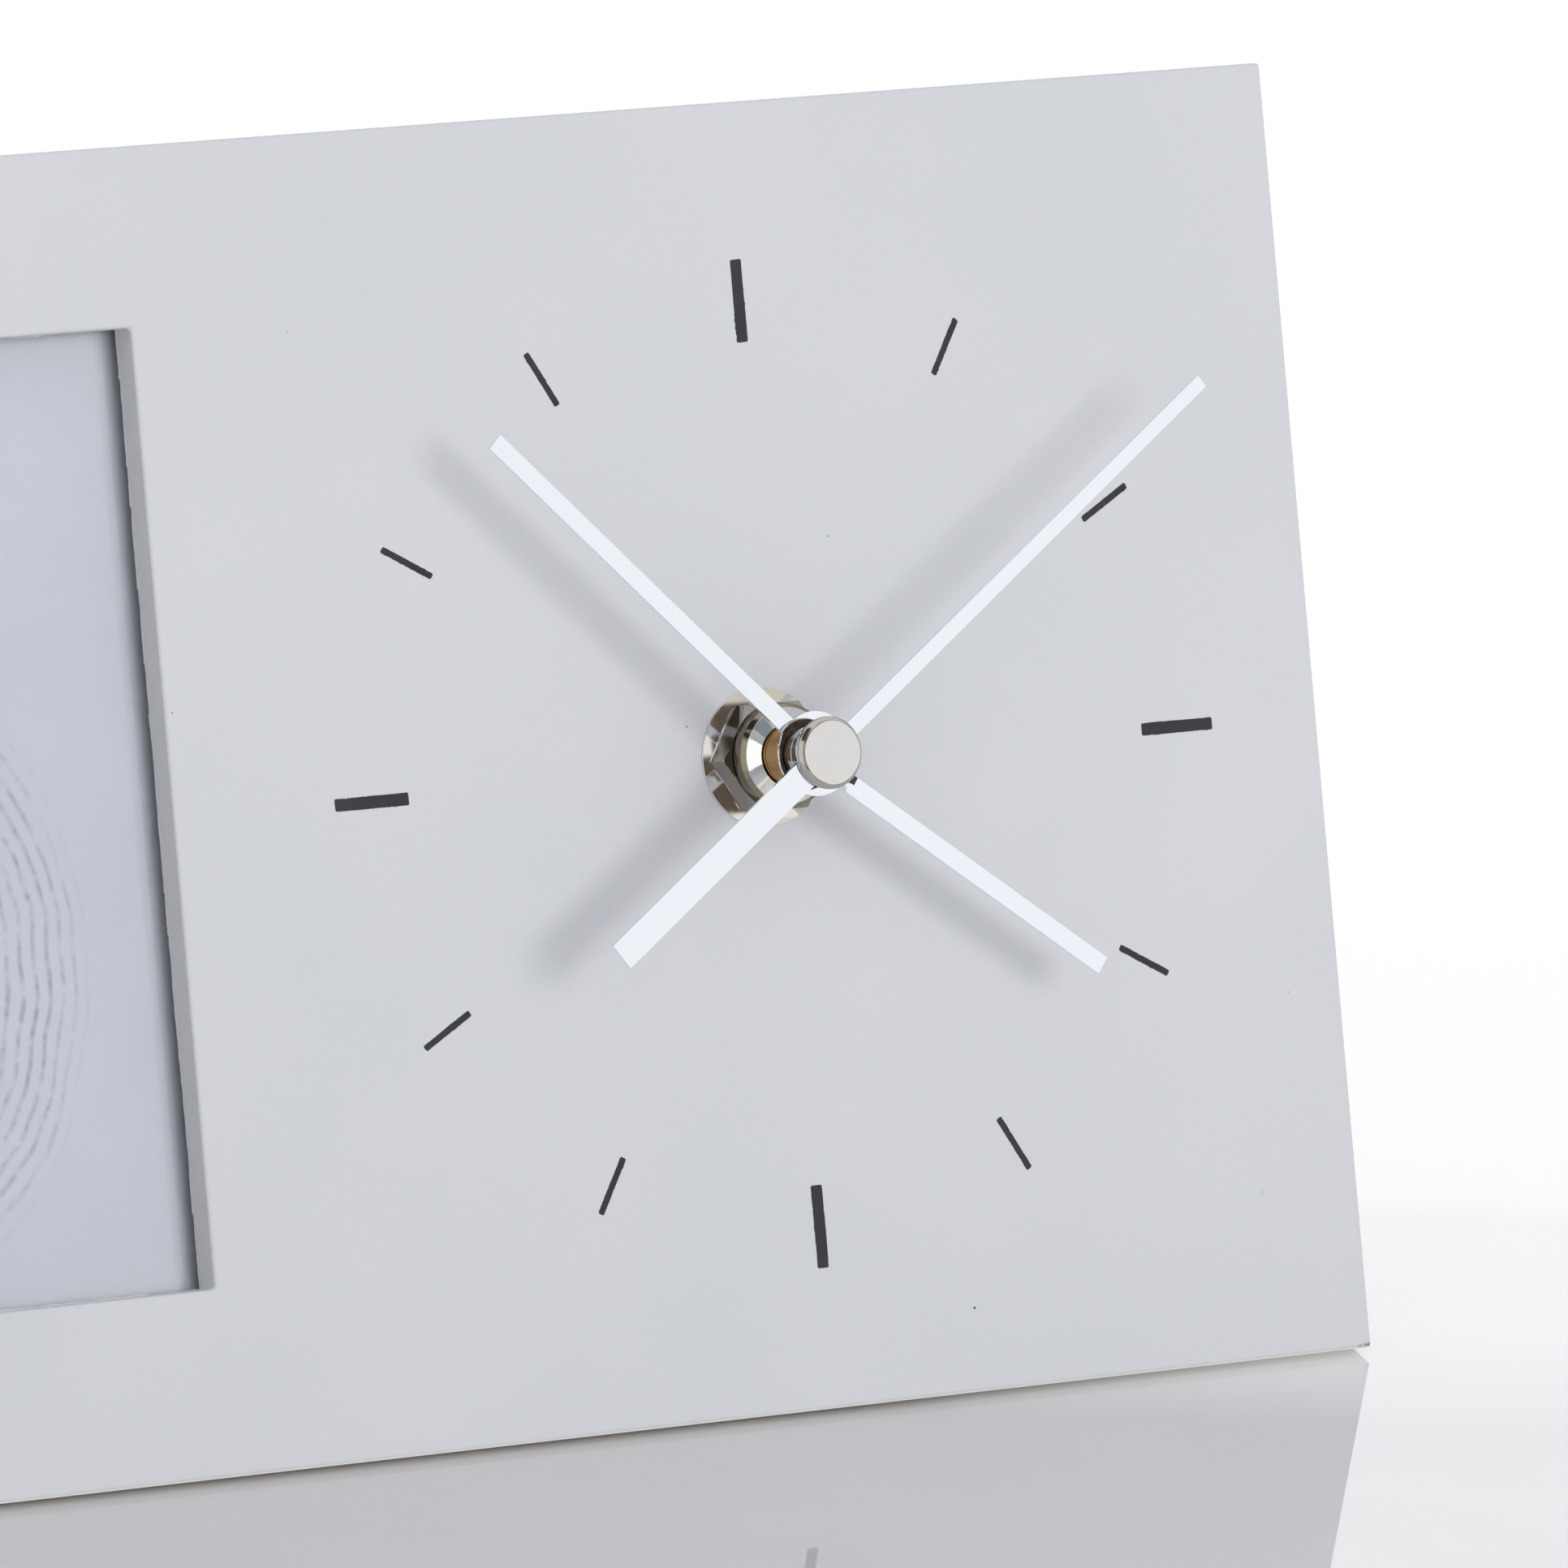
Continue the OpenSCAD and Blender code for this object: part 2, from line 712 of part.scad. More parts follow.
module movement_cover() {
    lip = case_wall;
    color(grey_plastic) on_shaft() difference() {
        union() {
            box(-half, half, lid_y, case_back, bay_wall_z, case_above);
            difference() {
                box(-half + case_wall + run, half - case_wall - run, lid_y - 1.5, lid_y,
                    bay_top_z + run, case_above - case_wall - run);
                box(-half + case_wall + lip, half - case_wall - lip, lid_y - 1.5 - cut, lid_y + run,
                    bay_top_z + lip, case_above - case_wall - lip);
            }
        }
        at(knob_at) bar(arbor_r + 0.7 + run, lid_y - cut, case_back + cut);
    }
}

module battery() {
    color([0.20, 0.24, 0.30]) on_shaft() translate([0, battery_y, bay_z]) rotate([0, 90, 0]) {
        cylinder(r = battery_r, h = battery_len, center = true);
        translate([0, 0, battery_len / 2]) cylinder(r = nub_r, h = nub_len);
    }
}

module plus_contact() {
    color(nickel) on_shaft() {
        box(half - case_wall - contact_t, half - case_wall, inside, battery_y + 4, bay_z - 4, bay_wall_z);
        box(battery_len / 2 + nub_len + touch, half - case_wall - contact_t,
            battery_y - 2, battery_y + 2, bay_z - 2, bay_z + 2);
    }
}

module minus_contact() {
    left = -half + case_wall;
    reach = -battery_len / 2 - touch - left;
    color(nickel) on_shaft() {
        box(left, left + contact_t, inside, battery_y + 4, bay_z - 4, bay_wall_z);
        translate([left, battery_y, bay_z]) rotate([0, 90, 0])
            cylinder(r1 = 4.5, r2 = 2.2, h = reach);
    }
}

// The electronics
module circuit_board() {
    color([0.15, 0.36, 0.24]) on_shaft()
        box(board_x, board_x + pcb_w, pcb_y, pcb_y + pcb_t, pcb_z - pcb_h / 2, pcb_z + pcb_h / 2);
}

module quartz_crystal() {
    face = pcb_y + pcb_t;
    color(nickel) on_shaft() translate([board_x + crystal_in, face + crystal_r, pcb_z - crystal_down]) {
        cylinder(r = crystal_r, h = crystal_len);
        for (x = [-1, 1]) translate([x * crystal_r * 0.4, 0, -crystal_lead])
            cylinder(r = crystal_r * 0.15, h = crystal_lead + touch, $fn = 16);
    }
}

module timing_chip() {
    face = pcb_y + pcb_t;
    color(black_plastic) on_shaft() at([board_x + pcb_w / 2, pcb_z + chip_up]) {
        bar(chip_r, face, face + 0.7);
        bar(chip_r - 1, face + 0.7, face + 1.1);
    }
}

module coil_core() {
    color(steel) on_shaft() box(coil_left - core_end, coil_right + core_end, stator_y, stator_y + stator_t,
        coil_z - core_w / 2, coil_z + core_w / 2);
}

module coil_bobbin() {
    mid_y = stator_y + stator_t / 2;
    color(white_plastic) on_shaft() difference() {
        translate([coil_left, mid_y, coil_z]) rotate([0, 90, 0]) {
            cylinder(r = core_w / 2 + 0.4, h = coil_right - coil_left);
            cylinder(r = bobbin_r, h = bobbin_wall);
            translate([0, 0, coil_right - coil_left - bobbin_wall]) cylinder(r = bobbin_r, h = bobbin_wall);
        }
        box(coil_left - cut, coil_right + cut, stator_y, stator_y + stator_t,
            coil_z - core_w / 2, coil_z + core_w / 2);
    }
}

module coil_winding() {
    mid_y = stator_y + stator_t / 2;
    length = coil_right - coil_left - 2 * bobbin_wall;
    color([0.72, 0.42, 0.22]) on_shaft() translate([coil_left + bobbin_wall, mid_y, coil_z]) rotate([0, 90, 0])
        difference() {
            cylinder(r = winding_r, h = length);
            translate([0, 0, -cut]) cylinder(r = core_w / 2 + 0.4, h = length + 2 * cut);
        }
}

module stator() {
    color(steel) on_shaft() difference() {
        plate(stator_y, stator_y + stator_t) union() {
            translate(rotor_at) circle(r = stator_ring_r);
            translate([coil_right + 0.3, rotor_at[1]])
                square([core_end - 0.3, coil_z - core_w / 2 - rotor_at[1]]);
            translate([coil_left - core_end, yoke_top - yoke_w])
                square([coil_right - coil_left + 2 * core_end, yoke_w]);
            translate([coil_left - core_end, yoke_top - yoke_w])
                square([core_end - 0.3, coil_z - core_w / 2 - yoke_top + yoke_w]);
        }
        at(rotor_at) bar(stator_r, stator_y - cut, stator_y + stator_t + cut);
    }
}

// The plates that hold the train
module train_plate(from, to) {
    box(-post_left - plate_margin, post_left + plate_margin, from, to,
        -post_low - plate_margin, post_high + plate_margin);
}

module middle_plate() {
    color(white_plastic) on_shaft() difference() {
        union() {
            train_plate(middle_y, middle_y + middle_t);
            for (p = posts) at(p) bar(post_r, middle_y, bridge_y);
            at(rotor_at) bar(pivot_r + 0.5, middle_y, rotor_pinion_y - 0.6);
        }
        bar(seconds_arbor_r + run, middle_y - cut, middle_y + middle_t + cut);
        at(third_at) bar(arbor_r + 0.4, middle_y - cut, middle_y + middle_t + cut);
        at(knob_at) bar(arbor_r + 0.4, middle_y - cut, middle_y + middle_t + cut);
        at(fifth_at) bar(pivot_r + run, middle_y - cut, middle_y + middle_t + cut);
        at(rotor_at) bar(pivot_r + run, middle_y - cut, rotor_pinion_y);
        for (p = posts) at(p) bar(post_screw_r, middle_y - cut, bridge_y + cut);
    }
}

module train_bridge() {
    color(white_plastic) on_shaft() difference() {
        train_plate(bridge_y, bridge_y + bridge_t);
        bar(pivot_r + run, bridge_y - cut, bridge_y + bridge_t + cut);
        for (p = [third_at, fifth_at, rotor_at]) at(p) bar(pivot_r + run, bridge_y - cut, bridge_y + bridge_t + cut);
        at(knob_at) bar(arbor_r + run, bridge_y - cut, bridge_y + bridge_t + cut);
        for (p = posts) at(p) bar(post_screw_r, bridge_y - cut, bridge_y + bridge_t + cut);
        box(-post_left - plate_margin - cut, rotor_at[0] + magnet_r, bridge_y - cut, bridge_y + bridge_t + cut,
            post_high + plate_margin / 2, post_high + plate_margin + cut);
    }
}

module bridge_screws() {
    color(steel) on_shaft() for (p = posts) at(p) {
        bar(post_screw_r, inside + 1, bridge_y + bridge_t);
        bar(1.3, bridge_y + bridge_t, bridge_y + bridge_t + 0.7);
    }
}

// The stepping motor's rotor and the train that it drives
module rotor_magnet() {
    color(steel) on_shaft() at(rotor_at) difference() {
        bar(magnet_r, magnet_y, magnet_y + magnet_t);
        bar(arbor_r, magnet_y - cut, magnet_y + magnet_t + cut);
    }
}

module rotor_pinion() {
    color(brass) on_shaft() at(rotor_at) {
        gear(rotor_teeth, fast_module, rotor_pinion_y, rotor_pinion_y + rotor_pinion_t,
            gap_angle(rotor_dir, rotor_teeth));
        bar(pivot_r, rotor_pinion_y - 1.2, bridge_y + bridge_t);
        bar(arbor_r, magnet_y - 0.2, magnet_y + magnet_t);
    }
}

module fifth_wheel() {
    color(white_plastic) on_shaft() at(fifth_at) {
        gear(fifth_teeth, fast_module, fifth_wheel_y, fifth_wheel_y + fifth_wheel_t, rotor_dir);
        gear(fifth_pinion_teeth, fast_module, fifth_pinion_y, fifth_pinion_y + fifth_pinion_t,
            gap_angle(fifth_dir, fifth_pinion_teeth));
        bar(arbor_r, fifth_pinion_y, bridge_y - 0.2);
        bar(pivot_r, middle_y, bridge_y + bridge_t);
    }
}

module second_wheel() {
    color(white_plastic) on_shaft() {
        gear(second_teeth, fast_module, second_wheel_y, second_wheel_y + second_wheel_t, fifth_dir);
        gear(second_pinion_teeth, third_module, second_pinion_y, second_pinion_y + second_pinion_t, third_dir);
        bar(arbor_r, second_pinion_y, bridge_y - 0.2);
        bar(pivot_r, bridge_y - 0.3, bridge_y + bridge_t);
        bar(seconds_arbor_r, -seconds_out, second_pinion_y);
    }
}

module third_wheel() {
    color(white_plastic) on_shaft() at(third_at) {
        gear(third_teeth, third_module, third_wheel_y, third_wheel_y + third_wheel_t,
            gap_angle(third_dir, third_teeth));
        gear(third_pinion_teeth, centre_module, third_pinion_y, third_pinion_y + third_pinion_t,
            third_dir + 180);
        bar(arbor_r, inside + 1.2, bridge_y - 0.2);
        bar(pivot_r, inside + 0.3, bridge_y + bridge_t);
    }
}

module centre_wheel() {
    color(white_plastic) on_shaft() difference() {
        gear(centre_teeth, centre_module, centre_wheel_y, centre_wheel_y + centre_wheel_t,
            third_dir + 180 / centre_teeth);
        bar(minute_arbor_r - 0.5 + run, centre_wheel_y - cut, centre_wheel_y + centre_wheel_t + cut);
    }
}

module minute_arbor() {
    color(brass) on_shaft() difference() {
        union() {
            bar(minute_arbor_r, -minute_arbor_out, cannon_y);
            gear(cannon_teeth, motion_module, cannon_y, cannon_y + cannon_t, motion_dir);
            bar(minute_arbor_r - 0.5, cannon_y, centre_wheel_y + centre_wheel_t + 0.2);
        }
        bar(seconds_arbor_r + run, -seconds_out - 0.3, middle_y);
    }
}

module motion_wheel() {
    color(white_plastic) on_shaft() at(motion_at) difference() {
        union() {
            gear(motion_teeth, motion_module, motion_wheel_y, motion_wheel_y + motion_wheel_t,
                gap_angle(motion_dir, motion_teeth));
            gear(motion_pinion_teeth, hour_module, motion_pinion_y, motion_wheel_y + motion_wheel_t / 2,
                motion_dir + 180);
        }
        bar(arbor_r + run, motion_pinion_y - cut, motion_wheel_y + motion_wheel_t + cut);
    }
}

module hour_wheel() {
    color(white_plastic) on_shaft() difference() {
        union() {
            gear(hour_teeth, hour_module, hour_wheel_y, hour_wheel_y + hour_wheel_t,
                motion_dir + 180 / hour_teeth);
            bar(hour_pipe_r, -collar_out, hour_wheel_y + hour_wheel_t);
        }
        bar(minute_arbor_r + run, -collar_out - cut, hour_wheel_y + hour_wheel_t + cut);
    }
}

module set_knob() {
    knob_y = case_back + 0.3;
    color(black_plastic) on_shaft() at(knob_at) {
        gear(cannon_teeth, motion_module, motion_wheel_y - 0.1, motion_wheel_y + motion_wheel_t + 0.1,
            gap_angle(knob_dir, cannon_teeth));
        bar(arbor_r, inside + 0.3, bridge_y + bridge_t);
        bar(arbor_r + 0.7, bridge_y + bridge_t, knob_y);
        difference() {
            bar(knob_r, knob_y, knob_y + knob_t);
            for (a = [0 : 15 : 345]) rotate([0, a, 0]) at([0, knob_r + 0.35])
                bar(0.75, knob_y - cut, knob_y + knob_t + cut);
        }
    }
}

// The hands
module hand_hub(r, hole_r, out) {
    difference() {
        bar(r, -out - hand_t, -out);
        bar(hole_r, -out - hand_t - cut, -out + cut);
    }
}

// A straight arm at a clock angle, from the hub's edge to its square end
module arm(angle, start, reach, w0, w1, out) {
    rotate([0, angle, 0]) plate(-out - hand_t, -out)
        polygon([[-w0 / 2, start], [-w1 / 2, reach], [w1 / 2, reach], [w0 / 2, start]]);
}

module hour_hand() {
    low = bush_out - tail_drop;
    bend_end = bend_start + bend_run;
    color(satin) on_shaft() {
        hand_hub(hour_hub_r, hour_pipe_r, bush_out);
        arm(hour_angle, hour_hub_r - 1, hour_reach, hour_w, hour_w, bush_out);
        rotate([0, hour_tail_angle, 0]) rotate([90, 0, 90])
            linear_extrude(hour_tail_w, center = true) polygon([
                [-bush_out - hand_t, hour_hub_r - 1], [-bush_out - hand_t, bend_start],
                [-low - hand_t, bend_end], [-low - hand_t, hour_tail], [-low, hour_tail],
                [-low, bend_end - bend_lap], [-bush_out, bend_start - bend_lap], [-bush_out, hour_hub_r - 1]
            ]);
    }
}

module hour_hand_collar() {
    bevel = 0.4;
    color(nickel) on_shaft() rotate([90, 0, 0]) rotate_extrude() polygon([
        [hour_pipe_r, bush_out + hand_t], [collar_r, bush_out + hand_t], [collar_r, collar_out - bevel],
        [collar_r - bevel, collar_out], [hour_pipe_r, collar_out]
    ]);
}

module minute_hand() {
    color(satin) on_shaft() {
        hand_hub(minute_hub_r, minute_arbor_r, minute_out);
        arm(minute_angle, minute_hub_r - 1, minute_reach, minute_w, minute_tip_w, minute_out);
        arm(minute_angle + 180, minute_hub_r - 1.5, minute_tail, minute_tail_w, minute_tail_w, minute_out);
    }
}

module cap_nut() {
    bevel = 0.55;
    seat = minute_out + hand_t;
    color(nickel) on_shaft() rotate([90, 0, 0]) rotate_extrude() polygon([
        [minute_arbor_r, seat], [cap_r, seat], [cap_r, cap_out - bevel], [cap_r - bevel, cap_out], [0, cap_out],
        [0, minute_arbor_out], [minute_arbor_r, minute_arbor_out]
    ]);
}

front_board();
hour_marks();
photo_rim();
rim_screws();
window_glass();
photo_print();
backing_board();
turn_button_upper_left();
turn_button_upper_right();
turn_button_lower_left();
turn_button_lower_right();
turn_button_screws();
strut_bracket();
bracket_screws();
strut_pin();
strut_leg();
strut_pad();
rubber_washer();
dial_washer();
shaft_nut();
threaded_bush();
movement_base();
movement_cover();
battery();
plus_contact();
minus_contact();
circuit_board();
quartz_crystal();
timing_chip();
coil_bobbin();
coil_winding();
coil_core();
stator();
middle_plate();
train_bridge();
bridge_screws();
rotor_magnet();
rotor_pinion();
fifth_wheel();
second_wheel();
third_wheel();
centre_wheel();
minute_arbor();
motion_wheel();
hour_wheel();
set_knob();
hour_hand();
hour_hand_collar();
minute_hand();
cap_nut();
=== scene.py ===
"""Photo frame clock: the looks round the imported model. Metres, in the row frame."""

import json
import math
import random

import bmesh
import bpy
from mathutils import Matrix, Vector


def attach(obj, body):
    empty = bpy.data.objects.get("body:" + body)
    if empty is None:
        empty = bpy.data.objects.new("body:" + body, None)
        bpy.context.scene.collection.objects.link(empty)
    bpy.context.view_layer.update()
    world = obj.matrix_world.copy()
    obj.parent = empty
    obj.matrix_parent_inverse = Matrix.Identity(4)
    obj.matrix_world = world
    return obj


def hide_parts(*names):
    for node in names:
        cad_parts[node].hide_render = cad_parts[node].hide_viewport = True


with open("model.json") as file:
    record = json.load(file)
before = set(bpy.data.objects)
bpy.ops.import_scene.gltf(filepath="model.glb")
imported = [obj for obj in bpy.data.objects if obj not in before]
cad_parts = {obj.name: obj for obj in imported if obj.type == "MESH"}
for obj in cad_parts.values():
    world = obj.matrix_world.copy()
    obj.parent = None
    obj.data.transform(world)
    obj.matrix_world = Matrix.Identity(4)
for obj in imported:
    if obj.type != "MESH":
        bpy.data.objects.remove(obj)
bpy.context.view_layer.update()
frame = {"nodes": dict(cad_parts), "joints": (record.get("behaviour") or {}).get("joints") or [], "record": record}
nodes = frame["nodes"]
MM = 0.001

# The board's own axes: u along it, v up it, w out of its face
shaft_joint = next(j for j in frame["joints"] if j["name"] == "minute_hand_turn")
U = Vector((1, 0, 0))
W = -Vector(shaft_joint["axis"]).normalized()
V = W.cross(U)
SHAFT = Vector(shaft_joint["pos_m"])
BOARD = Matrix.Translation(SHAFT) @ Matrix((U, V, W)).transposed().to_4x4()
TO_BOARD = Matrix.Scale(1000, 4) @ BOARD.inverted()


def on_board(u, v, w):
    """A point by its place along, up and out of the board, in millimetres from the shaft."""
    return SHAFT + (u * U + v * V + w * W) * MM


def reach(node):
    """A node's lowest and highest place along u, v and w, in millimetres."""
    places = [TO_BOARD @ v.co for v in nodes[node].data.vertices]
    return [(min(p[i] for p in places), max(p[i] for p in places)) for i in range(3)]


# Materials
class Tree:
    """A node tree, with short names for the nodes used here."""

    def __init__(self, tree):
        self.tree = tree

    def put(self, socket, value):
        if isinstance(value, bpy.types.NodeSocket):
            self.tree.links.new(value, socket)
        else:
            socket.default_value = value

    def node(self, kind, inputs=None, **settings):
        n = self.tree.nodes.new(kind)
        for key, value in settings.items():
            setattr(n, key, value)
        for key, value in (inputs or {}).items():
            self.put(n.inputs[key], value)
        return n

    def math(self, operation, a, b=0.0):
        return self.node("ShaderNodeMath", {0: a, 1: b}, operation=operation).outputs[0]

    def hypot(self, a, b):
        return self.math("SQRT", self.math("ADD", self.math("POWER", a, 2.0), self.math("POWER", b, 2.0)))

    def between(self, value, low, high):
        """1 between two values, else 0."""
        return self.math("MULTIPLY", self.math("GREATER_THAN", value, low), self.math("LESS_THAN", value, high))

    def vector(self, operation, a, b=(0, 0, 0), output="Vector"):
        return self.node("ShaderNodeVectorMath", {0: a, 1: b}, operation=operation).outputs[output]

    def dot(self, a, b):
        return self.vector("DOT_PRODUCT", a, b, "Value")

    def remap(self, value, low, high, to_low=0.0, to_high=1.0, **settings):
        return self.node("ShaderNodeMapRange", {"Value": value, "From Min": low, "From Max": high,
                                                "To Min": to_low, "To Max": to_high}, **settings).outputs["Result"]

    def mix(self, factor, a, b):
        n = self.node("ShaderNodeMix", {0: factor}, data_type="RGBA")
        for socket, value in zip([s for s in n.inputs if s.type == "RGBA"], (a, b)):
            self.put(socket, (*value, 1) if isinstance(value, tuple) else value)
        return next(s for s in n.outputs if s.type == "RGBA")

    def mix_shader(self, factor, a, b):
        return self.node("ShaderNodeMixShader", {0: factor, 1: a.outputs[0], 2: b.outputs[0]})

    def show(self, shader, output="Material Output"):
        self.tree.links.new(shader.outputs[0], self.tree.nodes[output].inputs["Surface"])


class Graph(Tree):
    """A node material with its Principled shader."""

    def __init__(self, name, color, rough, metal=0.0, **sockets):
        self.mat = bpy.data.materials.new(name)
        self.mat.use_nodes = True
        super().__init__(self.mat.node_tree)
        self.bsdf = self.tree.nodes["Principled BSDF"]
        self.shader(Base_Color=(*color, 1), Roughness=rough, Metallic=metal, **sockets)

    def shader(self, **sockets):
        for key, value in sockets.items():
            self.put(self.bsdf.inputs[key.replace("_", " ")], value)

    def place(self, axes=(U, V, W)):
        """Millimetres from the shaft along three axes."""
        co = self.node("ShaderNodeTexCoord").outputs["Object"]
        return [self.math("SUBTRACT", self.dot(co, axis * 1000), axis.dot(SHAFT) * 1000) for axis in axes]

    def join(self, rows, scale=(1, 1, 1)):
        rows = [r if s == 1 else self.math("MULTIPLY", r, s) for r, s in zip(rows, scale)]
        return self.node("ShaderNodeCombineXYZ", dict(zip("XYZ", rows))).outputs["Vector"]

    def noise(self, vector, scale, detail=2.0, rough=0.5):
        return self.node("ShaderNodeTexNoise", {"Vector": vector, "Scale": scale, "Detail": detail,
                                                "Roughness": rough}).outputs["Fac"]

    def turned(self, vector):
        """A vector along u, v, w in the object's own axes."""
        parts = self.node("ShaderNodeSeparateXYZ", {"Vector": vector}).outputs
        along_u, along_v, along_w = [
            self.node("ShaderNodeVectorMath", {0: axis, "Scale": part}, operation="SCALE").outputs["Vector"]
            for part, axis in zip(parts, (U, V, W))]
        return self.vector("ADD", self.vector("ADD", along_u, along_v), along_w)

    def bump(self, height, distance, strength=1.0):
        n = self.node("ShaderNodeBump", {"Height": height, "Distance": distance, "Strength": strength})
        self.shader(Normal=n.outputs["Normal"])


# Small marks on the paint: u, v, radius in millimetres and colour
PAINT_MARKS = [
    (25.1, -76.2, 0.22, (0.07, 0.07, 0.09)), (-11.2, 5.0, 0.20, (0.30, 0.31, 0.34)),
    (13.0, 28.6, 0.16, (0.26, 0.27, 0.30)), (-66.0, 61.5, 0.16, (0.34, 0.35, 0.38)),
    (-88.0, 13.0, 0.15, (0.22, 0.22, 0.24)), (-84.5, -99.0, 0.9, (0.52, 0.50, 0.42)),
    (-88.5, -99.3, 0.7, (0.50, 0.47, 0.38)), (71.5, -65.0, 0.5, (0.56, 0.58, 0.62)),
]
# Heights between which the face's tone gives way to a paler one on the walls behind it: painted light that brightens
# those walls
PAINTED_LIGHT_WALL_DEPTHS = (-0.3, -0.8)
# Heights above the board's lowest edge between which its underside's tone ends: a warm primer colour, made very pale
# as painted light for the shaded gap under the board
PRIMER_AND_PAINTED_LIGHT_END = (0.30, 0.10)


def paint(name, marks=(), corner=None):
    """Satin paint: a fine spray grain, faint clouding, specks of dust and the few blemishes of the real board, with a
    paler tone on the walls behind the face as painted light.
    At a corner, given as u and v, it is rubbed. A warmer, darker strip runs along the bottom edge, and the underside
    has a warm primer tone kept very pale as painted light for the shade under the board."""
    g = Graph(name, (0.62, 0.64, 0.68), 0.45, Specular_IOR_Level=0.35)
    rows = g.place()
    co = g.join(rows)
    tone = g.mix(g.remap(g.noise(co, 0.02, 3), 0.3, 0.7), (0.597, 0.615, 0.648), (0.629, 0.643, 0.675))
    grain = g.noise(co, 1.6, 3, 0.6)
    tone = g.mix(g.remap(grain, 0.35, 0.65, 0.0, 0.10), tone, (0.50, 0.53, 0.58))
    dust = g.node("ShaderNodeTexVoronoi", {"Vector": co, "Scale": 0.055}).outputs["Distance"]
    tone = g.mix(g.remap(dust, 0.010, 0.006, 0.0, 0.7), tone, (0.36, 0.37, 0.40))
    # Painted light: the walls and faces behind the face get a paler tone
    tone = g.mix(g.remap(rows[2], *PAINTED_LIGHT_WALL_DEPTHS, 0.0, 0.9), tone, (0.695, 0.700, 0.715))
    for u, v, radius, color in marks:
        flat = g.join([g.math("SUBTRACT", rows[0], u), g.math("SUBTRACT", rows[1], v), rows[2]], (1, 1, 0))
        wobble = g.math("MULTIPLY", g.noise(co, 3.0, 2), radius)
        far = g.math("ADD", g.vector("LENGTH", flat, output="Value"), wobble)
        tone = g.mix(g.remap(far, radius * 1.6, radius * 1.1), tone, color)
    if corner:
        from_right = g.math("SUBTRACT", corner[0], rows[0])
        from_low = g.math("SUBTRACT", rows[1], corner[1])
        rub = g.math("ADD", g.math("ADD", g.math("MULTIPLY", from_right, 0.35), from_low),
                     g.math("MULTIPLY", g.noise(co, 1.3, 3, 0.7), 2.2))
        tone = g.mix(g.remap(rub, 2.3, 1.7, 0.0, 0.85), tone, (0.16, 0.15, 0.17))
        # Darker and warmer along the whole bottom edge
        darker_bottom_strip = g.math("ADD", from_low, g.math("MULTIPLY", g.noise(co, 0.35, 3, 0.6), 1.2))
        tone = g.mix(g.remap(darker_bottom_strip, 1.2, 0.4, 0.0, 0.45), tone, (0.42, 0.40, 0.36))
        # Painted light on the underside: a warm primer tone, kept very pale so the shaded gap under the board and its
        # reflection read lighter
        tone = g.mix(g.remap(from_low, *PRIMER_AND_PAINTED_LIGHT_END), tone, (0.93, 0.89, 0.84))
    g.shader(Base_Color=tone, Roughness=g.remap(g.noise(co, 0.4, 2), 0.2, 0.8, 0.40, 0.50))
    g.bump(grain, 0.00003, 0.5)
    return g.mat


def moulded(name, color, rough, grain_mm=0.35, depth=0.00003, vary=0.12):
    """Moulded plastic, rubber or ink: a fine grain, with tone and gloss that vary a little."""
    g = Graph(name, color, rough)
    co = g.join(g.place())
    soft = g.noise(co, 0.15, 3)
    low, high = (tuple(c * (1 - vary) for c in color), tuple(min(1.0, c * (1 + vary)) for c in color))
    g.shader(Base_Color=g.mix(g.remap(soft, 0.3, 0.7), low, high),
             Roughness=g.remap(g.noise(co, 0.5, 3), 0.3, 0.7, max(0.05, rough - 0.06), rough + 0.08))
    g.bump(g.noise(co, 1 / grain_mm, 2), depth)
    return g.mat


def metal(name, color, rough, spread=0.03, stretch=(1, 1, 1), vary=0.04):
    """Bare or plated metal: polish that varies, with a grain that stretch draws out along an axis."""
    g = Graph(name, color, rough, 1.0)
    rows = g.place()
    fine = g.noise(g.join(rows, stretch), 3.0, 4, 0.6)
    cloud = g.noise(g.join(rows), 0.25, 3)
    low = tuple(c * (1 - vary) for c in color)
    g.shader(Base_Color=g.mix(g.remap(cloud, 0.35, 0.7), low, color),
             Roughness=g.remap(fine, 0.25, 0.75, max(0.02, rough - spread), rough + spread))
    g.bump(fine, 0.000004)
    return g.mat


# The hands' angles from 12 o'clock, in degrees
HOUR_ANGLE, HOUR_TAIL_ANGLE, MINUTE_ANGLE = 315.3, 127.0, 54.3
# Radius inside which a hand's hub may get painted shade
SHADED_HUB_R = 4.8


def along(angle):
    """Axes that run along a hand, across it and out of the board."""
    a = math.radians(angle)
    return (math.sin(a) * U + math.cos(a) * V, math.cos(a) * U - math.sin(a) * V, W)


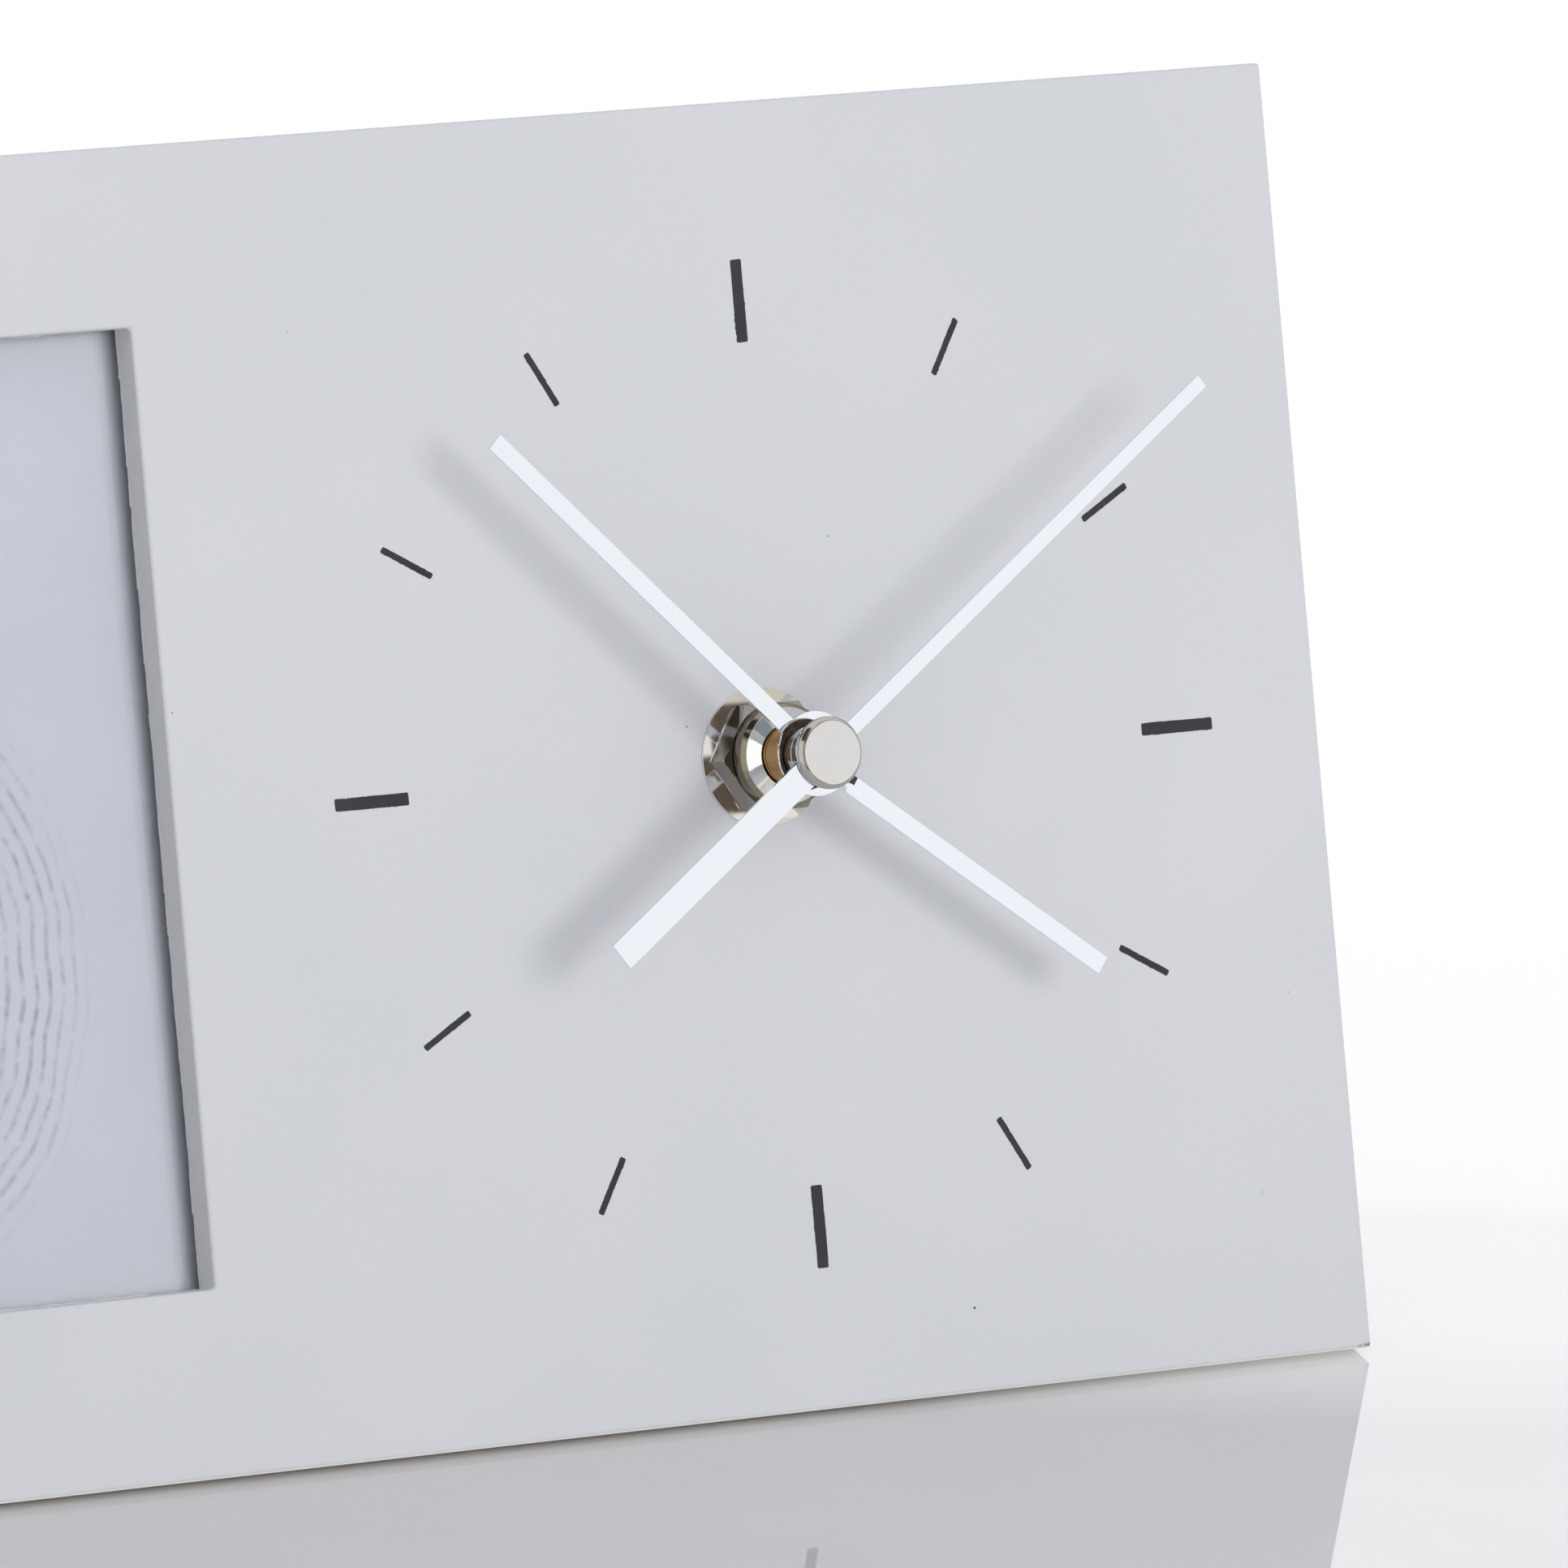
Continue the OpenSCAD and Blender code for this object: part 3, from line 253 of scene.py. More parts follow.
def aluminium(name, angle, shade_below=None, bend_shade=None):
    """Rolled aluminium with a faint grain along the hand. Its hub may get painted shade, dark brown with spots, below
    a height. Its tail may get a dark patch of painted shade where it bends:
    from and to a distance from the shaft, above a height, on one side of a line."""
    g = Graph(name, (0.865, 0.895, 0.945), 0.07, 1.0)
    rows = g.place(along(angle))
    fine = g.noise(g.join(rows, (0.12, 2.5, 1)), 3.0, 4, 0.6)
    tone = g.mix(g.remap(fine, 0.3, 0.7), (0.850, 0.880, 0.930), (0.880, 0.910, 0.960))
    rough = g.remap(fine, 0.25, 0.75, 0.05, 0.10)
    # Painted shade: a dark brown, spotted tone on the hub's underside, for the shade and dark reflections between the
    # hands
    if shade_below:
        spots = g.noise(g.join(rows), 2.2, 4, 0.7)
        painted_hub_shade = g.math("MULTIPLY", g.math("LESS_THAN", rows[2], shade_below),
                     g.math("LESS_THAN", g.hypot(rows[0], rows[1]), SHADED_HUB_R))
        brown = g.mix(g.remap(spots, 0.35, 0.65), (0.07, 0.048, 0.035), (0.17, 0.125, 0.095))
        tone = g.mix(painted_hub_shade, tone, brown)
        rough = g.math("MAXIMUM", rough, g.math("MULTIPLY", painted_hub_shade, 0.35))
    # Painted shade: a near-black patch on the tail where it bends, for its shade and dark reflection
    if bend_shade:
        start, end, low, side = bend_shade
        tail = g.place(along(HOUR_TAIL_ANGLE))
        dark = g.math("MULTIPLY", g.between(tail[0], start, end), g.math("GREATER_THAN", tail[2], low))
        dark = g.math("MULTIPLY", dark, g.math("LESS_THAN", tail[1], side))
        tone = g.mix(dark, tone, (0.06, 0.06, 0.062))
    g.shader(Base_Color=tone, Roughness=rough)
    g.bump(fine, 0.000001)
    return g.mat


# How far the crowned faces lean outwards, and where they are: the nut's front and the washer's face
NUT_CROWN, WASHER_CROWN = 0.286, 0.10
NUT_FRONT, NUT_FRONT_R = 6.87, 6.42
WASHER_FACE = (0.15, 0.72)
# Painted reflections and shade on the nut, dark tones for what its sides and chamfer mirror: from and to a height,
# outside a radius, with its tone
NUT_PAINTED_REFLECTIONS = [(0.72, 4.32, 6.9, (0.30, 0.285, 0.27)), (4.32, 6.32, 6.6, (0.20, 0.16, 0.12)),
             (6.32, 6.87, 6.42, (0.27, 0.255, 0.18))]


def nickel(name, color):
    """Polished nickel; the washer's face and the turned front of the nut are crowned, and the nut's sides and chamfer
    carry bands of painted reflection.
    """
    g = Graph(name, color, 0.07, 1.0)
    rows = g.place()
    radius = g.hypot(rows[0], rows[1])
    cloud = g.noise(g.join(rows), 0.25, 3)
    tone = g.mix(g.remap(cloud, 0.35, 0.7), tuple(c * 0.95 for c in color), color)
    # Painted reflections: darker tones on the nut for the dark things its sides mirror
    for bottom, top, inner, tint in NUT_PAINTED_REFLECTIONS:
        here = g.math("MULTIPLY", g.between(rows[2], bottom, top), g.math("GREATER_THAN", radius, inner))
        tone = g.mix(here, tone, tint)
    g.shader(Base_Color=tone, Roughness=g.remap(g.noise(g.join(rows), 1.2, 3), 0.3, 0.7, 0.05, 0.09))
    front = g.math("MULTIPLY", g.math("GREATER_THAN", rows[2], NUT_FRONT), g.math("LESS_THAN", radius, NUT_FRONT_R))
    face = g.between(rows[2], *WASHER_FACE)
    crowned = g.math("ADD", g.math("MULTIPLY", front, NUT_CROWN), g.math("MULTIPLY", face, WASHER_CROWN))
    crowned = g.math("DIVIDE", crowned, radius)
    lean = g.join([g.math("MULTIPLY", r, crowned) for r in rows[:2]] + [0.0])
    normal = g.node("ShaderNodeNewGeometry").outputs["Normal"]
    g.shader(Normal=g.vector("NORMALIZE", g.vector("ADD", g.turned(lean), normal)))
    return g.mat


# Radius of the cap's flat face, inside its chamfer
CAP_FACE_R = 4.6


def satin_cap():
    """The cap's face is blasted and its rim is polished."""
    g = Graph("satin_nickel", (0.80, 0.79, 0.765), 0.3, 1.0)
    rows = g.place()
    fine = g.noise(g.join(rows), 5.0, 3, 0.7)
    front = g.math("MULTIPLY", g.math("GREATER_THAN", rows[2], reach("cap_nut")[2][1] - 0.02),
                   g.math("LESS_THAN", g.hypot(rows[0], rows[1]), CAP_FACE_R))
    face = g.mix(g.remap(fine, 0.35, 0.65), (0.76, 0.75, 0.735), (0.85, 0.84, 0.825))
    g.shader(Roughness=g.math("MAXIMUM", g.math("MULTIPLY", g.remap(fine, 0.3, 0.7, 0.13, 0.20), front), 0.07),
             Base_Color=g.mix(front, (0.50, 0.475, 0.435), face))
    g.bump(g.math("MULTIPLY", fine, front), 0.000002)
    return g.mat


def glass():
    """Clear picture glass that lets the light through to the print."""
    g = Graph("pane_glass", (0.985, 0.99, 0.99), 0.0, Transmission_Weight=1.0, IOR=1.5)
    g.shader(Roughness=g.remap(g.noise(g.join(g.place()), 0.08, 3), 0.55, 0.75, 0.0, 0.015))
    clear = g.node("ShaderNodeBsdfTransparent", {"Color": (0.94, 0.95, 0.95, 1)})
    g.show(g.mix_shader(g.node("ShaderNodeLightPath").outputs["Is Shadow Ray"], g.bsdf, clear))
    return g.mat


def print_paper():
    """A plain stand-in print: raked sand round two stones, in pale lavender greys."""
    g = Graph("print_paper", (0.56, 0.57, 0.65), 0.55, Specular_IOR_Level=0.3)
    (left, right), (low, high), _ = reach("photo_print")
    centre = ((left + right) / 2 - 4, low + (high - low) * 0.36)
    rows = g.place()
    co = g.join(rows)
    x = g.math("SUBTRACT", rows[0], centre[0])
    y = g.math("SUBTRACT", rows[1], centre[1])
    from_centre = g.math("ADD", g.hypot(x, g.math("MULTIPLY", y, 0.8)), g.math("MULTIPLY", g.noise(co, 0.05, 2), 5.0))
    lines = g.math("SINE", g.math("MULTIPLY", from_centre, 3.2))
    fade = g.remap(from_centre, 39.0, 33.0)
    broken = g.remap(g.noise(co, 0.4, 3, 0.6), 0.35, 0.65)
    strength = g.math("MULTIPLY", g.math("MULTIPLY", g.remap(lines, 0.0, 1.0, 0.0, 0.75), fade), broken)
    ground = g.mix(g.remap(g.noise(co, 0.03, 3), 0.3, 0.7), (0.375, 0.385, 0.448), (0.405, 0.416, 0.480))
    tone = g.mix(strength, ground, (0.17, 0.17, 0.21))
    for dx, dy, size, color in ((-7, -4, 10.5, (0.08, 0.08, 0.10)), (6, 5, 6.0, (0.13, 0.13, 0.16))):
        far = g.hypot(g.math("SUBTRACT", x, dx), g.math("MULTIPLY", g.math("SUBTRACT", y, dy), 1.5))
        stone = g.mix(g.remap(far, 0.0, size), (0.28, 0.28, 0.32), color)
        tone = g.mix(g.remap(far, size + 0.4, size - 0.4), tone, stone)
    paper = g.noise(co, 3.0, 3, 0.6)
    g.shader(Base_Color=g.mix(g.remap(paper, 0.3, 0.7, 0.0, 0.07), tone, (0.26, 0.26, 0.31)))
    g.bump(paper, 0.00001)
    return g.mat


# The battery's sleeve: where its band lies from the plus end, and how much steel is bare at each end
BAND_START, BAND_END = 13.0, 15.0
BARE_PLUS, BARE_MINUS = 1.7, 0.5


def battery_sleeve():
    """A printed foil sleeve: dark body, a pale band near the plus end, and bare steel ends."""
    g = Graph("battery_sleeve", (0.05, 0.06, 0.09), 0.28)
    (left, right), _, _ = reach("battery")
    rows = g.place()
    to_plus = g.math("SUBTRACT", right, rows[0])
    to_minus = g.math("SUBTRACT", rows[0], left)
    co = g.join(rows)
    tone = g.mix(g.remap(g.noise(co, 0.3, 3), 0.3, 0.7), (0.040, 0.048, 0.075), (0.060, 0.070, 0.100))
    tone = g.mix(g.remap(to_plus, BAND_END + 0.1, BAND_END - 0.1), tone, (0.50, 0.31, 0.12))
    tone = g.mix(g.remap(to_plus, BAND_START + 0.1, BAND_START - 0.1), tone, (0.045, 0.050, 0.070))
    bare = g.math("MAXIMUM", g.math("LESS_THAN", to_plus, BARE_PLUS), g.math("LESS_THAN", to_minus, BARE_MINUS))
    g.shader(Base_Color=g.mix(bare, tone, (0.66, 0.65, 0.62)), Metallic=bare,
             Roughness=g.remap(g.noise(co, 1.0, 2), 0.3, 0.7, 0.22, 0.34))
    g.bump(g.noise(co, 1.2, 2), 0.00001)
    return g.mat


def fibre_board():
    """Pressed fibreboard: short flecks in brown."""
    g = Graph("backing_fibre", (0.26, 0.17, 0.10), 0.8, Specular_IOR_Level=0.2)
    rows = g.place()
    fleck = g.noise(g.join(rows, (1.0, 0.35, 1)), 1.1, 5, 0.7)
    cloud = g.noise(g.join(rows), 0.05, 3)
    tone = g.mix(g.remap(fleck, 0.35, 0.65), (0.17, 0.105, 0.060), (0.36, 0.25, 0.155))
    tone = g.mix(g.remap(cloud, 0.3, 0.7, 0.0, 0.35), tone, (0.24, 0.17, 0.11))
    g.shader(Base_Color=tone, Roughness=g.remap(fleck, 0.3, 0.7, 0.70, 0.88))
    g.bump(fleck, 0.00008)
    return g.mat


(_, board_right), (board_low, _), _ = reach("front_board")
mats = {
    "board_paint": paint("board_paint", PAINT_MARKS, (board_right, board_low)),
    "leg_paint": paint("leg_paint"),
    "mark_ink": moulded("mark_ink", (0.030, 0.028, 0.034), 0.6, 0.25, 0.00001, 0.18),
    "bright_nickel": nickel("bright_nickel", (0.80, 0.765, 0.715)),
    "satin_nickel": satin_cap(),
    "bush_brass": metal("bush_brass", (0.42, 0.25, 0.105), 0.16, 0.05),
    "pane_glass": glass(),
    "print_paper": print_paper(),
    "backing_fibre": fibre_board(),
    "black_plastic": moulded("black_plastic", (0.024, 0.024, 0.026), 0.42),
    "case_plastic": moulded("case_plastic", (0.030, 0.031, 0.034), 0.48, 0.45, 0.00005),
    "white_plastic": moulded("white_plastic", (0.76, 0.76, 0.72), 0.40, 0.5, 0.00001, 0.03),
    "black_rubber": moulded("black_rubber", (0.022, 0.022, 0.023), 0.78, 0.3, 0.00006),
    "button_steel": metal("button_steel", (0.66, 0.67, 0.68), 0.28, 0.08, (0.2, 2.0, 1), vary=0.10),
    "screw_steel": metal("screw_steel", (0.60, 0.61, 0.62), 0.24, 0.08, vary=0.12),
    "spring_nickel": metal("spring_nickel", (0.78, 0.76, 0.72), 0.15, 0.04),
    "battery_sleeve": battery_sleeve(),
    "board_green": moulded("board_green", (0.03, 0.15, 0.07), 0.35, 0.8, 0.00001),
    "coil_copper": metal("coil_copper", (0.60, 0.24, 0.09), 0.30, 0.08, (8, 0.2, 0.2), vary=0.15),
    "magnet_dark": moulded("magnet_dark", (0.08, 0.08, 0.09), 0.45),
}
hand_mats = {"hour_hand": aluminium("hour_hand_metal", HOUR_ANGLE, bend_shade=(6.1, 8.0, 12.0, -0.1)),
             "minute_hand": aluminium("hand_aluminium", MINUTE_ANGLE, reach("minute_hand")[2][0] + 0.02)}

# Edge radius in millimetres for each CAD node that the eye reaches
EASED = {
    "front_board": 0.50, "photo_rim": 0.5, "backing_board": 0.25, "rim_screws": 0.12, "turn_button_screws": 0.12,
    "bracket_screws": 0.12, "turn_button_upper_left": 0.18, "turn_button_upper_right": 0.18,
    "turn_button_lower_left": 0.18, "turn_button_lower_right": 0.18, "strut_bracket": 0.25, "strut_pin": 0.15,
    "strut_leg": 0.35, "strut_pad": 0.6, "shaft_nut": 0.12, "hour_hand": 0.10, "hour_hand_collar": 0.12,
    "minute_hand": 0.06, "cap_nut": 0.16, "rubber_washer": 0.2, "movement_base": 0.35, "movement_cover": 0.4,
    "set_knob": 0.25, "battery": 0.3, "plus_contact": 0.05, "minus_contact": 0.05,
}
FLAT_WITHIN, EDGE_FROM, SHARP_FROM = math.radians(0.5), math.radians(32), math.radians(50)
slot_of = {s["node"]: s["material_slot"] for s in frame["record"]["subparts"]}
for name, obj in nodes.items():
    obj.data.materials.clear()
    obj.data.materials.append(hand_mats.get(name) or mats[slot_of[name]])
    if name not in EASED:
        continue
    weld = obj.modifiers.new("weld", "WELD")
    weld.merge_threshold = 1e-6
    flat = obj.modifiers.new("flat", "DECIMATE")
    flat.decimate_type = "DISSOLVE"
    flat.angle_limit = FLAT_WITHIN
    edge = obj.modifiers.new("edge", "BEVEL")
    edge.width = EASED[name] * MM
    edge.segments = 3
    edge.limit_method = "ANGLE"
    edge.angle_limit = EDGE_FROM
    # The board's small holes would hold back the width of its long edges
    edge.use_clamp_overlap = name != "front_board"
    smooth = obj.modifiers.new("smooth", "WEIGHTED_NORMAL")
    smooth.keep_sharp = True


# Pieces made here
def piece(name, bm, body, slot, replaces=(), smooth=False):
    """A mesh in the board's millimetres becomes a piece on a body, in its slot's material."""
    bmesh.ops.recalc_face_normals(bm, faces=bm.faces)
    mesh = bpy.data.meshes.new(name)
    bm.transform(BOARD @ Matrix.Scale(MM, 4))
    bm.to_mesh(mesh)
    bm.free()
    for face in mesh.polygons:
        face.use_smooth = smooth
    mesh.materials.append(mats[slot])
    obj = bpy.data.objects.new(name, mesh)
    bpy.context.scene.collection.objects.link(obj)
    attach(obj, body)
    if replaces:
        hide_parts(*replaces)
    if smooth:
        mesh.set_sharp_from_angle(angle=SHARP_FROM)


def skin(bm, rings):
    """Faces between each ring of vertices and the next."""
    for low, high in zip(rings, rings[1:]):
        for s in range(len(low)):
            t = (s + 1) % len(low)
            bm.faces.new((low[s], low[t], high[t], high[s]))


def slab(bm, outline, low, high):
    """A closed flat solid from an outline of u, v points, between two heights."""
    bottom, top = [[bm.verts.new((u, v, w)) for u, v in outline] for w in (low, high)]
    bm.faces.new(top)
    bm.faces.new(list(reversed(bottom)))
    skin(bm, [bottom, top])


def lathe(bm, profile, sides):
    """A closed profile turned round the shaft; a radius is a length, or gives one for a share of a turn."""
    rings = []
    for radius, height in profile:
        ring = []
        for s in range(sides):
            r = radius(s / sides) if callable(radius) else radius
            a = 2 * math.pi * s / sides
            ring.append(bm.verts.new((r * math.cos(a), r * math.sin(a), height)))
        rings.append(ring)
    skin(bm, rings + rings[:1])


# Hour marks: printed bars with slightly ragged edges. Radius and shift of their ring, then length, width and wander
RING_RADIUS, RING_RIGHT, RING_BELOW = 62.0, 2.4, 1.1
LONG_MARK, SHORT_MARK = (11.1, 1.7, 0.085), (8.3, 0.9, 0.05)
INK, TOOTH, TOOTH_STEP, SKEW = 0.03, 0.022, 0.16, 0.05
CORNER, CORNER_CUT = 0.22, 0.07


def ragged(rng, count, fine, coarse):
    """Offsets along an edge: small teeth, a slow wander, and a few bumps or nicks."""
    slow = [rng.uniform(-coarse, coarse) * 0.4 for _ in range(6)]
    offsets = []
    for i in range(count):
        t = i / max(1, count - 1) * (len(slow) - 1)
        k = min(int(t), len(slow) - 2)
        offsets.append(slow[k] + (slow[k + 1] - slow[k]) * (t - k) + rng.uniform(-fine, fine))
    for _ in range(rng.randint(1, 3)):
        at = rng.randrange(3, max(4, count - 3))
        size = rng.choice((-1, 1, 1)) * rng.uniform(0.6, 1.3) * coarse
        for k in (-1, 0, 1):
            if 0 <= at + k < count:
                offsets[at + k] += size * (1.0 if k == 0 else 0.45)
    return offsets


rng = random.Random(12)
bm = bmesh.new()
for hour in range(12):
    length, width, wander = LONG_MARK if hour % 3 == 0 else SHORT_MARK
    count = int((length - 2 * CORNER) / TOOTH_STEP)
    right = ragged(rng, count, TOOTH, wander)
    left = ragged(rng, count, TOOTH, wander)
    skew = rng.uniform(-SKEW, SKEW)
    half, end = width / 2, length / 2
    ys = [-end + CORNER + (length - 2 * CORNER) * i / (count - 1) for i in range(count)]
    shape = [(half + o, y) for o, y in zip(right, ys)]
    shape += [(half - CORNER_CUT, end - CORNER_CUT + skew), (half - CORNER, end + skew),
              (-half + CORNER, end - skew), (-half + CORNER_CUT, end - CORNER_CUT - skew)]
    shape += [(-half + o, y) for o, y in zip(left, reversed(ys))]
    shape += [(-half + CORNER_CUT, -end + CORNER_CUT), (-half + CORNER, -end),
              (half - CORNER, -end + skew), (half - CORNER_CUT, -end + CORNER_CUT)]
    a = math.radians(30 * hour)
    out, side = (math.sin(a), math.cos(a)), (math.cos(a), -math.sin(a))
    centre = (RING_RIGHT + RING_RADIUS * out[0], -RING_BELOW + RING_RADIUS * out[1])
    slab(bm, [tuple(centre[i] + side[i] * x + out[i] * y for i in (0, 1)) for x, y in shape], 0, INK)
piece("printed_hour_marks", bm, "stand_and_case", "mark_ink", ["hour_marks"])

# Dial washer: a dished face that falls to a rolled rim
(washer_left, washer_right), _, (_, washer_top) = reach("dial_washer")
WASHER_R, WASHER_BORE, WASHER_SIDES = (washer_right - washer_left) / 2, 4.15, 144
DISH, DISH_STEPS = 0.40, 24
RIM_R, RIM_STEPS, RIM_LAP = 0.14, 12, 0.6
profile = [(WASHER_BORE, 0)]
for step in range(RIM_STEPS):
    a = step * math.pi / RIM_STEPS
    profile.append((WASHER_R - RIM_R + RIM_R * math.sin(a), RIM_R - RIM_R * math.cos(a)))
for step in range(DISH_STEPS + 1):
    share = step / DISH_STEPS
    r = WASHER_R - RIM_R * RIM_LAP - (WASHER_R - WASHER_BORE - RIM_R) * share
    profile.append((r, washer_top - DISH * (1 - share) ** 2))
bm = bmesh.new()
lathe(bm, profile, WASHER_SIDES)
piece("dished_washer", bm, "stand_and_case", "bright_nickel", ["dial_washer"], smooth=True)

# Threaded bush: a rolled thread on what stands out of the nut, and its flange inside the case
(bush_left, bush_right), _, (bush_back, bush_front) = reach("threaded_bush")
BUSH_R, BORE_R, FLANGE_R, FLANGE_T, BUSH_SIDES = 4.0, 2.7, (bush_right - bush_left) / 2, 0.8, 72
PITCH, DEPTH, THREAD_FROM, THREAD_STEPS = 0.75, 0.14, 5.0, 84
RUN_OUT, END_BEVEL = 0.5, 0.25


def thread(height):
    """The thread's radius at a height, for a share of a turn: rounded crests and roots."""
    to_front = bush_front - height

    def radius(turn):
        wave = 0.5 + 0.5 * math.cos(2 * math.pi * (height / PITCH - turn))
        fade = min(1.0, to_front / RUN_OUT)
        return BUSH_R - DEPTH * (1 - wave ** 0.8) * max(0.0, fade) - END_BEVEL * max(0.0, 1 - to_front / END_BEVEL)

    return radius


profile = [(BORE_R, bush_back), (FLANGE_R, bush_back), (FLANGE_R, bush_back + FLANGE_T),
           (BUSH_R, bush_back + FLANGE_T), (BUSH_R, THREAD_FROM - 0.01)]
for step in range(THREAD_STEPS + 1):
    height = THREAD_FROM + (bush_front - THREAD_FROM) * step / THREAD_STEPS
    profile.append((thread(height), height))
profile.append((BORE_R, bush_front))
bm = bmesh.new()
lathe(bm, profile, BUSH_SIDES)
piece("bush_with_thread", bm, "stand_and_case", "bush_brass", ["threaded_bush"], smooth=True)

# The pane, a hair clear of the board and of the print, with seamed edges
(glass_left, glass_right), (glass_low, glass_high), (glass_back, glass_front) = reach("window_glass")
PANE_GAP, PANE_SEAM = 0.04, 0.3
bm = bmesh.new()
levels = []
for inset, w in ((PANE_SEAM, glass_back + PANE_GAP), (0, glass_back + PANE_GAP + PANE_SEAM),
                 (0, glass_front - PANE_GAP - PANE_SEAM), (PANE_SEAM, glass_front - PANE_GAP)):
    corners = ((glass_left + inset, glass_low + inset), (glass_right - inset, glass_low + inset),
               (glass_right - inset, glass_high - inset), (glass_left + inset, glass_high - inset))
    levels.append([bm.verts.new((u, v, w)) for u, v in corners])
bm.faces.new(levels[0])
bm.faces.new(levels[-1])
skin(bm, levels)
piece("pane_with_seamed_edges", bm, "stand_and_case", "pane_glass", ["window_glass"])

# Paint that broke along the window's back edge: how far it stands in, in steps along the edge, with a few flakes
WINDOW_HEIGHT, LAP = 126.4, 2.0
FLAKE_STEP, FLAKE_START, FLAKE_WALK, FLAKE_MOST, FLAKE_LEAST = 0.35, 0.03, 0.035, 0.14, 0.012
FLAKE_ODDS, FLAKE_SIZES, FLAKE_ROOT = 0.035, (0.0, 0.16, 0.22), 0.3
FLAKE_BACK, FLAKE_FRONT = 0.10, 0.32
window_left, window_right = glass_left + LAP, glass_right - LAP
lap_high = (glass_high - glass_low - WINDOW_HEIGHT) / 2
window_low, window_high = glass_low + lap_high, glass_high - lap_high
window_corners = [(window_right, window_low), (window_right, window_high), (window_left, window_high),
                  (window_left, window_low)]
rng = random.Random(5)
bm = bmesh.new()
for (u0, v0), (u1, v1) in zip(window_corners, window_corners[1:] + window_corners[:1]):
    length = math.hypot(u1 - u0, v1 - v0)
    d = ((u1 - u0) / length, (v1 - v0) / length)
    n = (-d[1], d[0])
    count = int(length / FLAKE_STEP)
    inner, at = [], FLAKE_START
    for i in range(count + 1):
        at = min(FLAKE_MOST, max(0.0, at + rng.uniform(-FLAKE_WALK, FLAKE_WALK)))
        if rng.random() < FLAKE_ODDS:
            at = rng.choice(FLAKE_SIZES)
        inner.append(at + FLAKE_LEAST)
    outline = [(u0 + d[0] * length * i / count + n[0] * o, v0 + d[1] * length * i / count + n[1] * o)
               for i, o in enumerate(inner)]
    outline += [(u - n[0] * FLAKE_ROOT, v - n[1] * FLAKE_ROOT) for u, v in ((u1, v1), (u0, v0))]
    slab(bm, outline, glass_front + FLAKE_BACK, glass_front + FLAKE_FRONT)
piece("window_paint_edge", bm, "stand_and_case", "board_paint")

# Camera, fitted to the hour marks, the board's and window's edges and the hands
LENS = 419.6
ring_centre = on_board(RING_RIGHT, -RING_BELOW, 0)
camera_at = ring_centre + (-1203.3 * U + 28.72 * V + 2121.13 * W) * MM
right = (0.86584 * U - 0.0872 * V + 0.49266 * W).normalized()
up = (0.08219 * U + 0.99611 * V + 0.03187 * W).normalized()
back = right.cross(up).normalized()
cam = bpy.data.cameras.new("camera")
cam.lens = LENS
cam.sensor_width = 36
cam.clip_start, cam.clip_end = 0.1, 50
camera = bpy.data.objects.new("camera", cam)
bpy.context.scene.collection.objects.link(camera)
camera.matrix_world = Matrix.Translation(camera_at) @ Matrix((right, up, back)).transposed().to_4x4()
bpy.context.scene.camera = camera

# Table: a glossy white plate that goes over into the white backdrop
TABLE_RADIUS = 0.45
# From and to a depth behind the row frame's origin, in metres, with the share of white that is gained there
TABLE_FADE = ((0.0, 0.055, 0.46), (0.055, 0.114, 0.06), (0.114, 0.130, 0.32), (0.130, 0.30, 0.16))
bm = bmesh.new()
bmesh.ops.create_circle(bm, cap_ends=True, segments=128, radius=TABLE_RADIUS)
table_mesh = bpy.data.meshes.new("table")
bm.to_mesh(table_mesh)
bm.free()
table = bpy.data.objects.new("table", table_mesh)
bpy.context.scene.collection.objects.link(table)
g = Graph("table_white", (0.63, 0.63, 0.64), 0.04, IOR=1.5)
flat = g.node("ShaderNodeTexCoord").outputs["Object"]
depth = g.dot(flat, Vector((-back.x, -back.y, 0)).normalized())
smear = g.noise(flat, 30.0, 3)
looked_at = g.node("ShaderNodeLightPath").outputs["Is Camera Ray"]
plate = g.mix(g.remap(smear, 0.3, 0.7), (0.62, 0.62, 0.632), (0.64, 0.64, 0.652))
g.shader(Roughness=g.remap(smear, 0.3, 0.7, 0.018, 0.03), Base_Color=g.mix(looked_at, (0.80, 0.80, 0.81), plate))
share = 0.0
for start, end, gain in TABLE_FADE:
    share = g.math("ADD", g.remap(depth, start, end, 0.0, gain), share)
white = g.node("ShaderNodeEmission", {"Color": (1, 1, 1, 1), "Strength": 1.0})
g.show(g.mix_shader(g.math("MULTIPLY", looked_at, share), g.bsdf, white))
table_mesh.materials.append(g.mat)

# One soft box, nearly square to the board
light = bpy.data.lights.new("key", "AREA")
light.shape = "DISK"
light.size = 0.70
light.energy = 9.5
light.color = (1.0, 0.985, 0.96)
key = bpy.data.objects.new("key", light)
key.location = on_board(220, 75, 1550)
key.rotation_mode = "QUATERNION"
key.rotation_quaternion = (SHAFT - key.location).to_track_quat("-Z", "Y")
key.visible_glossy = False
bpy.context.scene.collection.objects.link(key)

# A white studio round it
world = bpy.data.worlds.new("studio")
bpy.context.scene.world = world
world.use_nodes = True
room = Tree(world.node_tree)
direction = room.node("ShaderNodeTexCoord").outputs["Generated"]
ray = room.node("ShaderNodeLightPath").outputs


def background(color, strength=1.0):
    return room.node("ShaderNodeBackground", {"Color": color, "Strength": strength})


def toward(vector, low, high):
    """How far a ray's direction turns to a vector: 0 at the first cosine, 1 at the second."""
    return room.remap(room.dot(direction, vector.normalized()), low, high, interpolation_type="SMOOTHSTEP")


